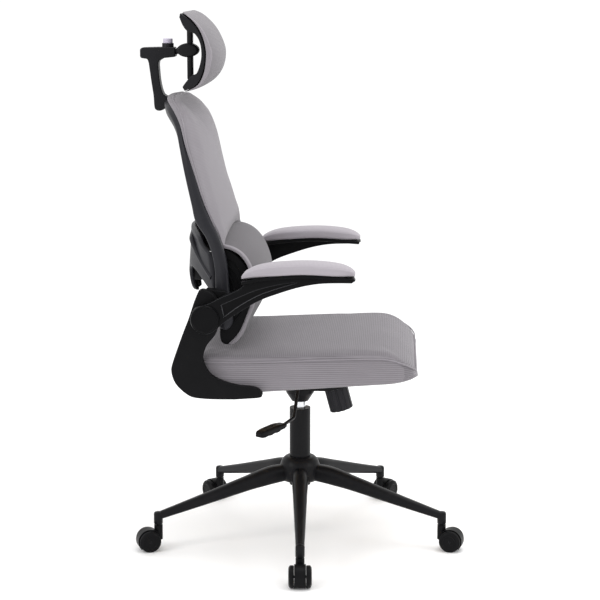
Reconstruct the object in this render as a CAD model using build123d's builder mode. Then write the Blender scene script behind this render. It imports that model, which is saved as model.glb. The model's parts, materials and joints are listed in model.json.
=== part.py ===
from build123d import *

import os
from math import cos, radians, sin, tan

os.makedirs("parts", exist_ok=True)

# High-back task chair with a flip-up armrest on each side, in millimetres.
# +Z is up, the origin is on the floor under the swivel axis, the seat faces -Y
# and the sitter's right is towards -X. Side outlines are (forward, up) points.

# Casters
wheel_radius = 25
wheel_width = 12.5
wheel_gap = 27
wheel_edge = 1.5
wheel_crown = 4
wheel_face_radius = 15
axle_radius = 3
axle_inset = 1
hood_radius = 27.5
web_radius = 19
web_clearance = 0.5
collar_radius = 10
stem_radius = 5.5
stem_depth = 20
caster_trail = 24

# Five-leg base
base_radius = 350
leg_count = 5
leg_turn = 183.1
leg_root_radius = 46
leg_root_width = 34
leg_root_height = 39
leg_root_centre = 160
leg_tip_width = 20
leg_tip_height = 18
leg_corner = 5
socket_radius = 10.5
socket_height = 28
socket_gap = 7
socket_roof = 3
hub_radius = 42
hub_bottom = 140
hub_top = 198
hub_neck = 31
sleeve_width = 42
sleeve_height = 47
sleeve_length = 18

# Gas column
column_radius = 25
column_wall = 2
column_bottom = 128
column_top = 317
column_floor = 4
cylinder_radius = 14
cylinder_bottom = 150
cylinder_top = 386
bush_length = 78
rod_radius = 5
rod_inside = 145
bearing_radius = 16
bearing_height = 7

# Running fits and gaps
running = 0.05
small_gap = 0.5

# Tilt mechanism
housing_half_width = 62
housing_wall = 3
housing_front = 128
housing_rear = -42
housing_floor = 371
housing_bend = 72
housing_front_top = 403
housing_middle = (10, 396)
housing_rear_top = 381
cup_bottom = 334
cup_radius = 20
cup_flare_radius = 33
cup_flare_up = 354
cup_top_radius = 38
tilt_pin_forward = 44
tilt_pin_up = 388
tilt_pin_radius = 5
ear_width = 5
plate_rear = -100
plate_front = 135
plate_thickness = 4
plate_half_width = 72
knob_radius = 28
knob_height = 54
knob_tilt = 15
knob_top_forward = 85.5
knob_top_up = 365.7
knob_grips = 12
knob_grip_radius = 3
bolt_radius = 5
bolt_length = 34
bolt_socket = 12
bolt_head_height = 4
bolt_head_radius = 11
spring_radius = 10
spring_wire = 1.6
spring_pitch = 4.5
spring_turns = 4

# Height lever
lever_up = 382
lever_rod_radius = 4
lever_bush_radius = 7
lever_bush_length = 22
lever_bush_proud = 5
lever_rod_bend = 12
lever_low_up = 320
lever_grip_start = (170, -28, 318)
lever_grip_length = 88
lever_grip_height = 17
lever_grip_width = 30

# Seat
seat_half_width = 245
seat_slope = 0.075
seat_bottom_centre = 413
seat_rear = -218
seat_front = 278
board_thickness = 12
board_inset = 30
board_corner = 25
seat_edge_fillet = 20
seat_bolt_radius = 3
seat_bolt_head = 6
seat_bolt_head_height = 4
seat_bolt_spread = 58
seat_bolt_inset = 14

# Side brackets and armrests
bracket_gap = 4
bracket_thickness = 24
bracket_foot = 68
bracket_foot_thickness = 6
bracket_foot_rear = -136
bracket_foot_front = -80
arm_gap = 1
arm_thickness = 26
arm_hub_radius = 32
arm_pivot = (-193, 586)
arm_pin_radius = 6
arm_cap_radius = 30
arm_cap_thickness = 7
arm_pad_width = 70
arm_pad_fillet = 9
arm_tray_thickness = 7
arm_tray_inset = 3

# Back
back_half_width = 235
back_top = 1050
back_corner = 135
rail_width = 30
rail_bottom = 480
pad_gap = 1.5
pad_edge = 5
bridge_rear = -266
bridge_side = -186
bridge_thickness = 12
bridge_box_half_width = 72
bridge_box_bottom = 628
bridge_box_top = 686
bridge_box_front = -196

# Lumbar support, an arc in side view about its own centre
lumbar_half_width = 196
lumbar_centre = (-204, 629)
lumbar_radius = 139
lumbar_upper_angle = 67
lumbar_lower_angle = -70
lumbar_thickness = 24
lumbar_fillet = 8
lumbar_shell_thickness = 7
lumbar_boss_rear = -150
guide_radius = 7
guide_spread = 55
guide_up = 657
guide_rear = -226
guide_seat = 9

# Headrest
post_half_width = 18
post_seat_margin = 12
beam_rear = -367
beam_front = -287
beam_bottom = 1143
beam_top = 1167
beam_wall = 5
button_forward = -305
button_radius = 11
button_travel = 4
button_height = 20
button_collar_wall = 2.5
button_collar_height = 9
tongue_half_width = 12
tongue_clearance = 0.3
nose_half_width = 6
nose_radius = 8
cheek_thickness = 5
headrest_pin = (-277, 1160)
headrest_pin_radius = 3.6
headrest_bracket_half_width = 20
block_bottom = 1144
block_top = 1177
rail_half_width = 12
rail_rear = -260
rail_front = -247
rail_low = 1095
rail_high = 1212
headrest_half_width = 145
headrest_plate_half_width = 140

leg_angles = [leg_turn + 360 / leg_count * index for index in range(leg_count)]
side_plane = Plane(origin=(0, 0, 0), x_dir=(0, -1, 0), z_dir=(-1, 0, 0))
front_plane = Plane.XZ


def seat_bottom(forward):
    return seat_bottom_centre + seat_slope * forward


def ring(outer, inner, bottom, top):
    # Upright tube about the swivel axis.
    with BuildPart() as piece:
        with BuildSketch(Plane.XY.offset(bottom)):
            Circle(outer)
            if inner > 0:
                Circle(inner, mode=Mode.SUBTRACT)
        extrude(amount=top - bottom)
    return piece


# ---------------------------------------------------------------- casters
axle_x = base_radius + caster_trail
wheel_outer = wheel_gap / 2 + wheel_width
socket_bottom = 2 * wheel_radius + socket_gap + 5
collar_top = socket_bottom - 2
stem_bottom = socket_bottom - stem_depth
stem_top = socket_bottom + socket_height - socket_roof - 1
axle_plane = Plane(origin=(axle_x, 0, wheel_radius), x_dir=(0, 1, 0), z_dir=(1, 0, 0))
axle_axis = Axis((axle_x, 0, wheel_radius), (0, 1, 0))
web_plane = Plane(origin=(axle_x, 0, wheel_radius), x_dir=(1, 0, 0), z_dir=(0, -1, 0))

with BuildPart() as wheel_pair:
    with BuildSketch(axle_plane):
        with BuildLine():
            Polyline(
                (wheel_outer, wheel_face_radius),
                (wheel_outer - 1, wheel_face_radius - 1),
                (wheel_outer - 1, axle_radius + running),
                (wheel_gap / 2, axle_radius + running),
                (wheel_gap / 2, wheel_radius - wheel_edge),
                (wheel_gap / 2 + wheel_edge, wheel_radius),
                (wheel_outer - wheel_crown, wheel_radius),
            )
            ThreePointArc(
                (wheel_outer - wheel_crown, wheel_radius),
                (wheel_outer - wheel_crown / 4, (wheel_radius + wheel_face_radius) / 2 + 1),
                (wheel_outer, wheel_face_radius),
            )
        make_face()
    revolve(axis=axle_axis)
    mirror(about=Plane.XZ)

hood_reach = 3 * hood_radius
with BuildPart() as hood:
    with BuildSketch(web_plane):
        Circle(hood_radius)
        with BuildLine():
            Polyline(
                (0, 0),
                (hood_reach * cos(radians(-45)), hood_reach * sin(radians(-45))),
                (0, -2 * hood_reach),
                (-2 * hood_reach, 0),
                (hood_reach * cos(radians(170)), hood_reach * sin(radians(170))),
                (0, 0),
            )
        make_face(mode=Mode.SUBTRACT)
        Circle(web_radius)
    extrude(amount=wheel_gap / 2 - web_clearance, both=True)
    with BuildSketch(Plane.XY.offset(wheel_radius)):
        with Locations((base_radius, 0)):
            Circle(collar_radius)
    extrude(amount=collar_top - wheel_radius)
    with BuildSketch(Plane.XY.offset(stem_bottom)):
        with Locations((base_radius, 0)):
            Circle(stem_radius)
    extrude(amount=collar_top - stem_bottom, mode=Mode.SUBTRACT)
    with BuildSketch(web_plane):
        Circle(axle_radius)
    extrude(amount=wheel_gap, both=True, mode=Mode.SUBTRACT)

with BuildPart() as stem_and_axle:
    with BuildSketch(Plane.XY.offset(stem_bottom)):
        with Locations((base_radius, 0)):
            Circle(stem_radius)
    extrude(amount=stem_top - stem_bottom)
    with BuildSketch(web_plane):
        Circle(axle_radius)
    extrude(amount=wheel_outer - axle_inset, both=True)

for index, angle in enumerate(leg_angles, start=1):
    with BuildPart() as caster_wheels:
        with PolarLocations(0, 1, angle):
            add(wheel_pair.part)
    caster_wheels.part.label = f"caster_{index}_wheels"
    export_step(caster_wheels.part, f"parts/caster_{index}_wheels.step")

    with BuildPart() as caster_housing:
        with PolarLocations(0, 1, angle):
            add(hood.part)
    caster_housing.part.label = f"caster_{index}_housing"
    export_step(caster_housing.part, f"parts/caster_{index}_housing.step")

    with BuildPart() as caster_pins:
        with PolarLocations(0, 1, angle):
            add(stem_and_axle.part)
    caster_pins.part.label = f"caster_{index}_stem_and_axle"
    export_step(caster_pins.part, f"parts/caster_{index}_stem_and_axle.step")

# ---------------------------------------------------------------- base
socket_top = socket_bottom + socket_height
leg_tip_centre = socket_top - leg_tip_height / 2
leg_root = Plane(origin=(leg_root_radius, 0, leg_root_centre), x_dir=(0, 1, 0), z_dir=(1, 0, 0))
leg_tip = Plane(origin=(base_radius - 3, 0, leg_tip_centre), x_dir=(0, 1, 0), z_dir=(1, 0, 0))

with BuildPart() as leg_beam:
    with BuildSketch(leg_root):
        RectangleRounded(leg_root_width, leg_root_height, leg_corner)
    with BuildSketch(leg_tip):
        RectangleRounded(leg_tip_width, leg_tip_height, leg_corner)
    loft()

with BuildPart() as leg:
    add(leg_beam.part)
    with BuildSketch(Plane.XY.offset(socket_bottom)):
        with Locations((base_radius, 0)):
            Circle(socket_radius)
    extrude(amount=socket_height)
    with BuildSketch(Plane.XY.offset(socket_bottom)):
        with Locations((base_radius, 0)):
            Circle(stem_radius + running)
    extrude(amount=socket_height - socket_roof, mode=Mode.SUBTRACT)

for index, angle in enumerate(leg_angles, start=1):
    with BuildPart() as base_leg:
        with PolarLocations(0, 1, angle):
            add(leg.part)
    base_leg.part.label = f"base_leg_{index}"
    export_step(base_leg.part, f"parts/base_leg_{index}.step")

sleeve_start = hub_radius - 10
with BuildPart() as base_hub:
    with BuildSketch(Plane.XZ):
        with BuildLine():
            Polyline(
                (hub_neck, hub_top),
                (column_radius, hub_top),
                (column_radius, hub_bottom),
                (hub_radius - 3, hub_bottom),
                (hub_radius, hub_bottom + 3),
                (hub_radius, hub_top - 18),
            )
            ThreePointArc(
                (hub_radius, hub_top - 18),
                (hub_radius - 3.2, hub_top - 6),
                (hub_neck, hub_top),
            )
        make_face()
    revolve(axis=Axis.Z)
    for angle in leg_angles:
        sleeve_plane = Plane(
            origin=(
                sleeve_start * cos(radians(angle)),
                sleeve_start * sin(radians(angle)),
                leg_root_centre,
            ),
            x_dir=(-sin(radians(angle)), cos(radians(angle)), 0),
            z_dir=(cos(radians(angle)), sin(radians(angle)), 0),
        )
        with BuildSketch(sleeve_plane):
            RectangleRounded(sleeve_width, sleeve_height, 2 * leg_corner)
        extrude(amount=leg_root_radius - sleeve_start + sleeve_length)
    with BuildSketch(Plane.XY.offset(hub_bottom - sleeve_height)):
        Circle(column_radius)
    extrude(amount=2 * sleeve_height + hub_top, mode=Mode.SUBTRACT)
    with PolarLocations(0, leg_count, leg_turn):
        add(leg_beam.part, mode=Mode.SUBTRACT)
base_hub.part.label = "base_hub"
export_step(base_hub.part, "parts/base_hub.step")

# ---------------------------------------------------------------- gas column
column_bore = column_radius - column_wall
with BuildPart() as column_tube:
    with BuildSketch(Plane.XY.offset(column_bottom)):
        Circle(column_radius)
    extrude(amount=column_top - column_bottom)
    with BuildSketch(Plane.XY.offset(column_bottom + column_floor)):
        Circle(column_bore)
    extrude(amount=column_top - column_bottom, mode=Mode.SUBTRACT)
column_tube.part.label = "column_tube"
export_step(column_tube.part, "parts/column_tube.step")

column_bush = ring(column_bore, cylinder_radius + running, column_top - bush_length, column_top)
column_bush.part.label = "column_bush"
export_step(column_bush.part, "parts/column_bush.step")

bearing_bottom = column_bottom + column_floor
thrust_bearing = ring(bearing_radius, rod_radius + running, bearing_bottom, bearing_bottom + bearing_height)
thrust_bearing.part.label = "thrust_bearing"
export_step(thrust_bearing.part, "parts/thrust_bearing.step")

rod_bottom = bearing_bottom + small_gap
with BuildPart() as piston_rod:
    with BuildSketch(Plane.XY.offset(rod_bottom)):
        Circle(rod_radius)
    extrude(amount=cylinder_bottom + rod_inside - rod_bottom)
    with BuildSketch(Plane.XY.offset(bearing_bottom + bearing_height)):
        Circle(2 * rod_radius)
    extrude(amount=small_gap * 4)
piston_rod.part.label = "piston_rod"
export_step(piston_rod.part, "parts/piston_rod.step")

with BuildPart() as gas_cylinder:
    with BuildSketch(Plane.XY.offset(cylinder_bottom)):
        Circle(cylinder_radius)
    extrude(amount=cylinder_top - cylinder_bottom)
    with BuildSketch(Plane.XY.offset(cylinder_bottom)):
        Circle(rod_radius + running)
    extrude(amount=rod_inside + small_gap, mode=Mode.SUBTRACT)
gas_cylinder.part.label = "gas_cylinder"
export_step(gas_cylinder.part, "parts/gas_cylinder.step")

# ---------------------------------------------------------------- tilt mechanism
knob_slope = tan(radians(knob_tilt))
knob_axis_dir = (0, -sin(radians(knob_tilt)), -cos(radians(knob_tilt)))
knob_plane = Plane(
    origin=(0, -knob_top_forward, knob_top_up),
    x_dir=(1, 0, 0),
    z_dir=knob_axis_dir,
)


def front_floor(forward):
    # Underside of the housing over the knob, square to the knob's axis.
    return housing_floor + (forward - housing_bend) * knob_slope


with BuildPart() as tilt_housing:
    with BuildSketch(side_plane):
        Polygon(
            (housing_rear, housing_floor),
            (housing_bend, housing_floor),
            (housing_front, front_floor(housing_front)),
            (housing_front, housing_front_top),
            housing_middle,
            (housing_rear, housing_rear_top),
            align=None,
        )
    extrude(amount=housing_half_width, both=True)
    with BuildSketch(side_plane):
        Polygon(
            (housing_rear + housing_wall, housing_floor + housing_wall),
            (housing_bend, housing_floor + housing_wall),
            (housing_front - housing_wall, front_floor(housing_front) + housing_wall),
            (housing_front - housing_wall, housing_front_top + housing_wall),
            (housing_rear + housing_wall, housing_front_top + housing_wall),
            align=None,
        )
    extrude(amount=housing_half_width - housing_wall, both=True, mode=Mode.SUBTRACT)
    with BuildSketch(Plane.XZ):
        Polygon(
            (0, cup_bottom),
            (cup_radius, cup_bottom),
            (cup_flare_radius, cup_flare_up),
            (cup_top_radius, housing_floor),
            (0, housing_floor),
            align=None,
        )
    revolve(axis=Axis.Z)
    with BuildSketch(Plane.XY.offset(housing_floor)):
        Circle(cup_radius)
    extrude(amount=cylinder_top - housing_floor)
    with BuildSketch(Plane.XY.offset(cup_bottom)):
        Circle(cylinder_radius)
    extrude(amount=cylinder_top, mode=Mode.SUBTRACT)
    with BuildSketch(side_plane):
        with Locations((tilt_pin_forward, tilt_pin_up)):
            Circle(tilt_pin_radius)
    extrude(amount=2 * housing_half_width, both=True, mode=Mode.SUBTRACT)
    with BuildSketch(side_plane):
        with Locations((0, lever_up)):
            Circle(lever_bush_radius + running)
    extrude(amount=2 * housing_half_width, mode=Mode.SUBTRACT)
    with BuildSketch(knob_plane):
        Circle(bolt_radius + running)
    extrude(amount=-bolt_length, mode=Mode.SUBTRACT)
tilt_housing.part.label = "tilt_housing"
export_step(tilt_housing.part, "parts/tilt_housing.step")

with BuildPart() as tilt_pin:
    with BuildSketch(side_plane):
        with Locations((tilt_pin_forward, tilt_pin_up)):
            Circle(tilt_pin_radius)
    extrude(amount=housing_half_width + housing_wall, both=True)
tilt_pin.part.label = "tilt_pin"
export_step(tilt_pin.part, "parts/tilt_pin.step")

ear_outer = housing_half_width - housing_wall - small_gap
with BuildPart() as seat_plate:
    with BuildSketch(side_plane):
        Polygon(
            (plate_rear, seat_bottom(plate_rear)),
            (plate_front, seat_bottom(plate_front)),
            (plate_front, seat_bottom(plate_front) - plate_thickness),
            (plate_rear, seat_bottom(plate_rear) - plate_thickness),
            align=None,
        )
    extrude(amount=plate_half_width, both=True)
    ear_radius = 2 * tilt_pin_radius
    ear_top = seat_bottom(tilt_pin_forward) - plate_thickness / 2
    for lateral in (ear_outer, ear_width - ear_outer):
        with BuildSketch(side_plane.offset(lateral)):
            with Locations((tilt_pin_forward, tilt_pin_up)):
                Circle(ear_radius)
            Polygon(
                (tilt_pin_forward - ear_radius, tilt_pin_up),
                (tilt_pin_forward + ear_radius, tilt_pin_up),
                (tilt_pin_forward + ear_radius, ear_top),
                (tilt_pin_forward - ear_radius, ear_top),
                align=None,
            )
        extrude(amount=-ear_width)
    with BuildSketch(side_plane):
        with Locations((tilt_pin_forward, tilt_pin_up)):
            Circle(tilt_pin_radius + running)
    extrude(amount=2 * housing_half_width, both=True, mode=Mode.SUBTRACT)

with BuildPart() as tension_knob:
    with BuildSketch(knob_plane):
        Circle(knob_radius)
        with PolarLocations(knob_radius + 1, knob_grips):
            Circle(knob_grip_radius, mode=Mode.SUBTRACT)
    extrude(amount=knob_height)
    fillet(tension_knob.faces().sort_by(Axis.Z)[0].edges(), 2)
    with BuildSketch(knob_plane):
        Circle(bolt_radius)
    extrude(amount=bolt_socket, mode=Mode.SUBTRACT)
tension_knob.part.label = "tension_knob"
export_step(tension_knob.part, "parts/tension_knob.step")

with BuildPart() as tension_bolt:
    with BuildSketch(knob_plane.offset(bolt_socket)):
        Circle(bolt_radius)
    extrude(amount=-(bolt_length + bolt_socket))
    with BuildSketch(knob_plane.offset(-bolt_length)):
        RegularPolygon(bolt_head_radius, 6)
    extrude(amount=-bolt_head_height)
tension_bolt.part.label = "tension_bolt"
export_step(tension_bolt.part, "parts/tension_bolt.step")

# The spring stands on the housing floor, which lies square to the knob's axis.
knob_gap = (front_floor(knob_top_forward) - knob_top_up) * cos(radians(knob_tilt))
spring_base = knob_plane.offset(-(knob_gap + housing_wall + small_gap))
with BuildPart() as tilt_spring:
    with BuildSketch(spring_base):
        Circle(spring_radius)
        Circle(spring_radius - 2 * spring_wire, mode=Mode.SUBTRACT)
    extrude(amount=-spring_pitch * spring_turns)
tilt_spring.part.label = "tilt_spring"
export_step(tilt_spring.part, "parts/tilt_spring.step")

# ---------------------------------------------------------------- height lever
lever_bush_end = housing_half_width + lever_bush_proud
lever_bush_start = lever_bush_end - lever_bush_length
with BuildPart() as lever_bush:
    with BuildSketch(side_plane.offset(lever_bush_start)):
        with Locations((0, lever_up)):
            Circle(lever_bush_radius)
            Circle(lever_rod_radius + running, mode=Mode.SUBTRACT)
    extrude(amount=lever_bush_length)
lever_bush.part.label = "lever_bush"
export_step(lever_bush.part, "parts/lever_bush.step")

rod_turn = lever_bush_end + lever_rod_bend
grip_lateral, grip_forward, grip_up = lever_grip_start
with BuildPart() as lever_rod:
    with BuildLine():
        rod_path = FilletPolyline(
            (-(lever_bush_start + 2), 0, lever_up),
            (-rod_turn, 0, lever_up),
            (-(rod_turn + 3 * lever_rod_bend), 8, lever_low_up),
            (-grip_lateral - lever_rod_bend, -grip_forward + 2, grip_up),
            radius=lever_rod_bend,
        )
    with BuildSketch(Plane(origin=rod_path @ 0, z_dir=rod_path % 0)):
        Circle(lever_rod_radius)
    sweep(path=rod_path)
lever_rod.part.label = "lever_rod"
export_step(lever_rod.part, "parts/lever_rod.step")

with BuildPart() as lever_grip:
    grip_plane = Plane(
        origin=(-grip_lateral, -grip_forward, grip_up),
        x_dir=(53, 70, 0),
        z_dir=(-70, 53, -8),
    )
    with BuildSketch(grip_plane):
        RectangleRounded(lever_grip_width * 0.6, lever_grip_height * 0.8, 5)
    with BuildSketch(grip_plane.offset(lever_grip_length / 2)):
        RectangleRounded(lever_grip_width, lever_grip_height, 7)
    with BuildSketch(grip_plane.offset(lever_grip_length)):
        RectangleRounded(lever_grip_width * 0.8, lever_grip_height * 0.7, 5)
    loft()
    add(lever_rod.part, mode=Mode.SUBTRACT)
lever_grip.part.label = "lever_grip"
export_step(lever_grip.part, "parts/lever_grip.step")

# ---------------------------------------------------------------- seat
board_front = seat_front - board_inset
board_rear = seat_rear + board_inset
with BuildPart() as seat_board:
    with BuildSketch(side_plane):
        Polygon(
            (board_rear, seat_bottom(board_rear)),
            (board_front, seat_bottom(board_front)),
            (board_front, seat_bottom(board_front) + board_thickness),
            (board_rear, seat_bottom(board_rear) + board_thickness),
            align=None,
        )
    extrude(amount=seat_half_width - board_inset, both=True)
    fillet(seat_board.edges().filter_by(Axis.Z, tolerance=10), board_corner)

bolt_places = [
    (plate_rear + seat_bolt_inset, seat_bolt_spread),
    (plate_rear + seat_bolt_inset, -seat_bolt_spread),
    (plate_front - seat_bolt_inset, seat_bolt_spread),
    (plate_front - seat_bolt_inset, -seat_bolt_spread),
]


def bolt(forward, lateral, under):
    # A screw driven up from the surface at height `under` into the seat board.
    with BuildPart() as piece:
        with BuildSketch(Plane(origin=(-lateral, -forward, under), z_dir=(0, 0, 1))):
            Circle(seat_bolt_head)
        extrude(amount=-seat_bolt_head_height)
        with BuildSketch(Plane(origin=(-lateral, -forward, under), z_dir=(0, 0, 1))):
            Circle(seat_bolt_radius)
        extrude(amount=seat_bottom(forward) + board_thickness - 2 - under)
    return piece


with BuildPart() as seat_bolts:
    for forward, lateral in bolt_places:
        add(bolt(forward, lateral, seat_bottom(forward) - plate_thickness - small_gap).part)
seat_bolts.part.label = "seat_bolts"
export_step(seat_bolts.part, "parts/seat_bolts.step")

with BuildPart() as drilled_plate:
    add(seat_plate.part)
    add(seat_bolts.part, mode=Mode.SUBTRACT)
drilled_plate.part.label = "seat_plate"
export_step(drilled_plate.part, "parts/seat_plate.step")

seat_crown = [
    (seat_rear, 484),
    (-150, 490),
    (-100, 497),
    (0, 505),
    (117, 512),
    (seat_front - 92, 512),
    (seat_front - 44, 503),
    (seat_front - 12, 478),
    (seat_front, 452),
]
with BuildPart() as seat_cushion:
    with BuildSketch(side_plane):
        with BuildLine():
            Spline(*seat_crown)
            Polyline(
                seat_crown[-1],
                (seat_front - 8, seat_bottom(seat_front) + 4),
                (seat_front - 20, seat_bottom(seat_front - 20)),
                (seat_rear + 25, seat_bottom(seat_rear + 25)),
                (seat_rear, seat_bottom(seat_rear) + 30),
                seat_crown[0],
            )
        make_face()
    extrude(amount=seat_half_width, both=True)
    fillet(seat_cushion.faces().filter_by(Axis.X).edges().group_by(Axis.Z)[-1], seat_edge_fillet)
    add(seat_board.part, mode=Mode.SUBTRACT)
seat_cushion.part.label = "seat_cushion"
export_step(seat_cushion.part, "parts/seat_cushion.step")

# ---------------------------------------------------------------- side brackets
bracket_inner = seat_half_width + bracket_gap
bracket_outer = bracket_inner + bracket_thickness
arm_inner = bracket_outer + arm_gap
arm_outer = arm_inner + arm_thickness
foot_inner = bracket_inner - bracket_foot
foot_corners = [
    (bracket_foot_rear, seat_bottom(bracket_foot_rear)),
    (bracket_foot_front, seat_bottom(bracket_foot_front)),
    (bracket_foot_front, seat_bottom(bracket_foot_front) - bracket_foot_thickness),
    (bracket_foot_rear, seat_bottom(bracket_foot_rear) - bracket_foot_thickness),
]
bracket_outline_rear = [
    (-205, 652),
    (-213, 640),
    (-220, 615),
    (-233, 581),
    (-246, 548),
    (-267, 490),
    (-273, 461),
    (-265, 436),
    (-246, 415),
    (-222, 404),
    (-139, 399),
]
bracket_outline_front = [
    (-72, 404),
    (-67, 413),
    (-83, 425),
    (-134, 432),
    (-170, 445),
    (-190, 462),
    (-200, 482),
    (-202, 497),
    (-193, 521),
    (-172, 549),
    (-160, 580),
    (-164, 640),
]
with BuildPart() as seat_bracket_right:
    with BuildSketch(side_plane.offset(bracket_inner)):
        with BuildLine():
            Spline(*bracket_outline_rear)
            Line(bracket_outline_rear[-1], bracket_outline_front[0])
            Spline(*bracket_outline_front[:3])
            Spline(*bracket_outline_front[2:])
            Line(bracket_outline_front[-1], bracket_outline_rear[0])
        make_face()
    extrude(amount=bracket_thickness)
    with BuildSketch(side_plane.offset(foot_inner)):
        Polygon(*foot_corners, align=None)
    extrude(amount=bracket_foot + bracket_thickness / 2)
    with BuildSketch(side_plane):
        with Locations(arm_pivot):
            Circle(arm_pin_radius)
    extrude(amount=2 * bracket_outer, mode=Mode.SUBTRACT)

with BuildPart() as bracket_bolts:
    for forward in (bracket_foot_rear + seat_bolt_inset, bracket_foot_front - seat_bolt_inset):
        under = seat_bottom(forward) - bracket_foot_thickness - small_gap
        add(bolt(forward, foot_inner + seat_bolt_inset, under).part)
    mirror(about=Plane.YZ)
bracket_bolts.part.label = "bracket_bolts"
export_step(bracket_bolts.part, "parts/bracket_bolts.step")

with BuildPart() as bolted_bracket:
    add(seat_bracket_right.part)
    add(bracket_bolts.part, mode=Mode.SUBTRACT)
bolted_bracket.part.label = "seat_bracket_right"
export_step(bolted_bracket.part, "parts/seat_bracket_right.step")

with BuildPart() as seat_bracket_left:
    mirror(bolted_bracket.part, about=Plane.YZ)
seat_bracket_left.part.label = "seat_bracket_left"
export_step(seat_bracket_left.part, "parts/seat_bracket_left.step")

with BuildPart() as drilled_board:
    add(seat_board.part)
    add(seat_bolts.part, mode=Mode.SUBTRACT)
    add(bracket_bolts.part, mode=Mode.SUBTRACT)
drilled_board.part.label = "seat_board"
export_step(drilled_board.part, "parts/seat_board.step")

# ---------------------------------------------------------------- armrests
arm_upper_line = [(-180, 619), (-155, 635), (-118, 652), (-104, 662)]
arm_lower_line = [
    (-176, 555),
    (-159, 579),
    (-118, 608),
    (-74, 634),
    (-30, 650),
    (15, 663),
    (59, 670),
    (118, 672),
]
tray_line = [(-112, 671), (-74, 679), (-29, 684), (15, 687), (59, 686), (102, 682), (134, 680)]
tray_under = [(forward, up - arm_tray_thickness) for forward, up in tray_line]
tray_front, tray_front_up = tray_line[-1]
pad_inner = bracket_outer - arm_pad_width / 2
with BuildPart() as arm_right:
    with BuildSketch(side_plane.offset(arm_inner)):
        with BuildLine():
            Spline(*arm_lower_line)
            Line(arm_lower_line[-1], (tray_front, tray_front_up - 2))
            Line((tray_front, tray_front_up - 2), tray_line[-1])
            Spline(*reversed(tray_line))
            Line(tray_line[0], arm_upper_line[-1])
            Spline(*reversed(arm_upper_line))
            Line(arm_upper_line[0], arm_lower_line[0])
        make_face()
    extrude(amount=arm_thickness)
    with BuildSketch(side_plane.offset(arm_inner)):
        with Locations(arm_pivot):
            Circle(arm_hub_radius)
    extrude(amount=arm_thickness)
    with BuildSketch(side_plane.offset(pad_inner + arm_tray_inset)):
        with BuildLine():
            Spline(*tray_line)
            Line(tray_line[-1], tray_under[-1])
            Spline(*reversed(tray_under))
            Line(tray_under[0], tray_line[0])
        make_face()
    extrude(amount=arm_pad_width - 2 * arm_tray_inset)
    with BuildSketch(side_plane):
        with Locations(arm_pivot):
            Circle(arm_pin_radius + running)
    extrude(amount=2 * arm_outer, mode=Mode.SUBTRACT)
arm_right.part.label = "arm_right"
export_step(arm_right.part, "parts/arm_right.step")

with BuildPart() as arm_pad_right:
    with BuildSketch(side_plane.offset(pad_inner)):
        with BuildLine():
            Spline(*tray_line)
            ThreePointArc(tray_line[-1], (130, 698), (110, 704))
            Spline((110, 704), (50, 709), (-10, 707), (-70, 700), (-100, 690))
            ThreePointArc((-100, 690), (-110, 682), tray_line[0])
        make_face()
    extrude(amount=arm_pad_width)
    fillet(arm_pad_right.faces().filter_by(Axis.X).edges().group_by(Axis.Z)[-1], arm_pad_fillet)
arm_pad_right.part.label = "arm_pad_right"
export_step(arm_pad_right.part, "parts/arm_pad_right.step")

pin_inner = back_half_width
with BuildPart() as arm_pin_right:
    with BuildSketch(side_plane.offset(pin_inner)):
        with Locations(arm_pivot):
            Circle(arm_pin_radius)
    extrude(amount=arm_outer - pin_inner)
    with BuildSketch(side_plane.offset(arm_outer + small_gap)):
        with Locations(arm_pivot):
            Circle(arm_cap_radius)
    extrude(amount=arm_cap_thickness)
    with BuildSketch(side_plane.offset(arm_outer)):
        with Locations(arm_pivot):
            Circle(arm_pin_radius)
    extrude(amount=arm_cap_thickness)
arm_pin_right.part.label = "arm_pin_right"
export_step(arm_pin_right.part, "parts/arm_pin_right.step")

arm_pieces = {
    "arm_left": arm_right,
    "arm_pad_left": arm_pad_right,
    "arm_pin_left": arm_pin_right,
}
for name, right in arm_pieces.items():
    with BuildPart() as left:
        mirror(right.part, about=Plane.YZ)
    left.part.label = name
    export_step(left.part, f"parts/{name}.step")

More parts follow.
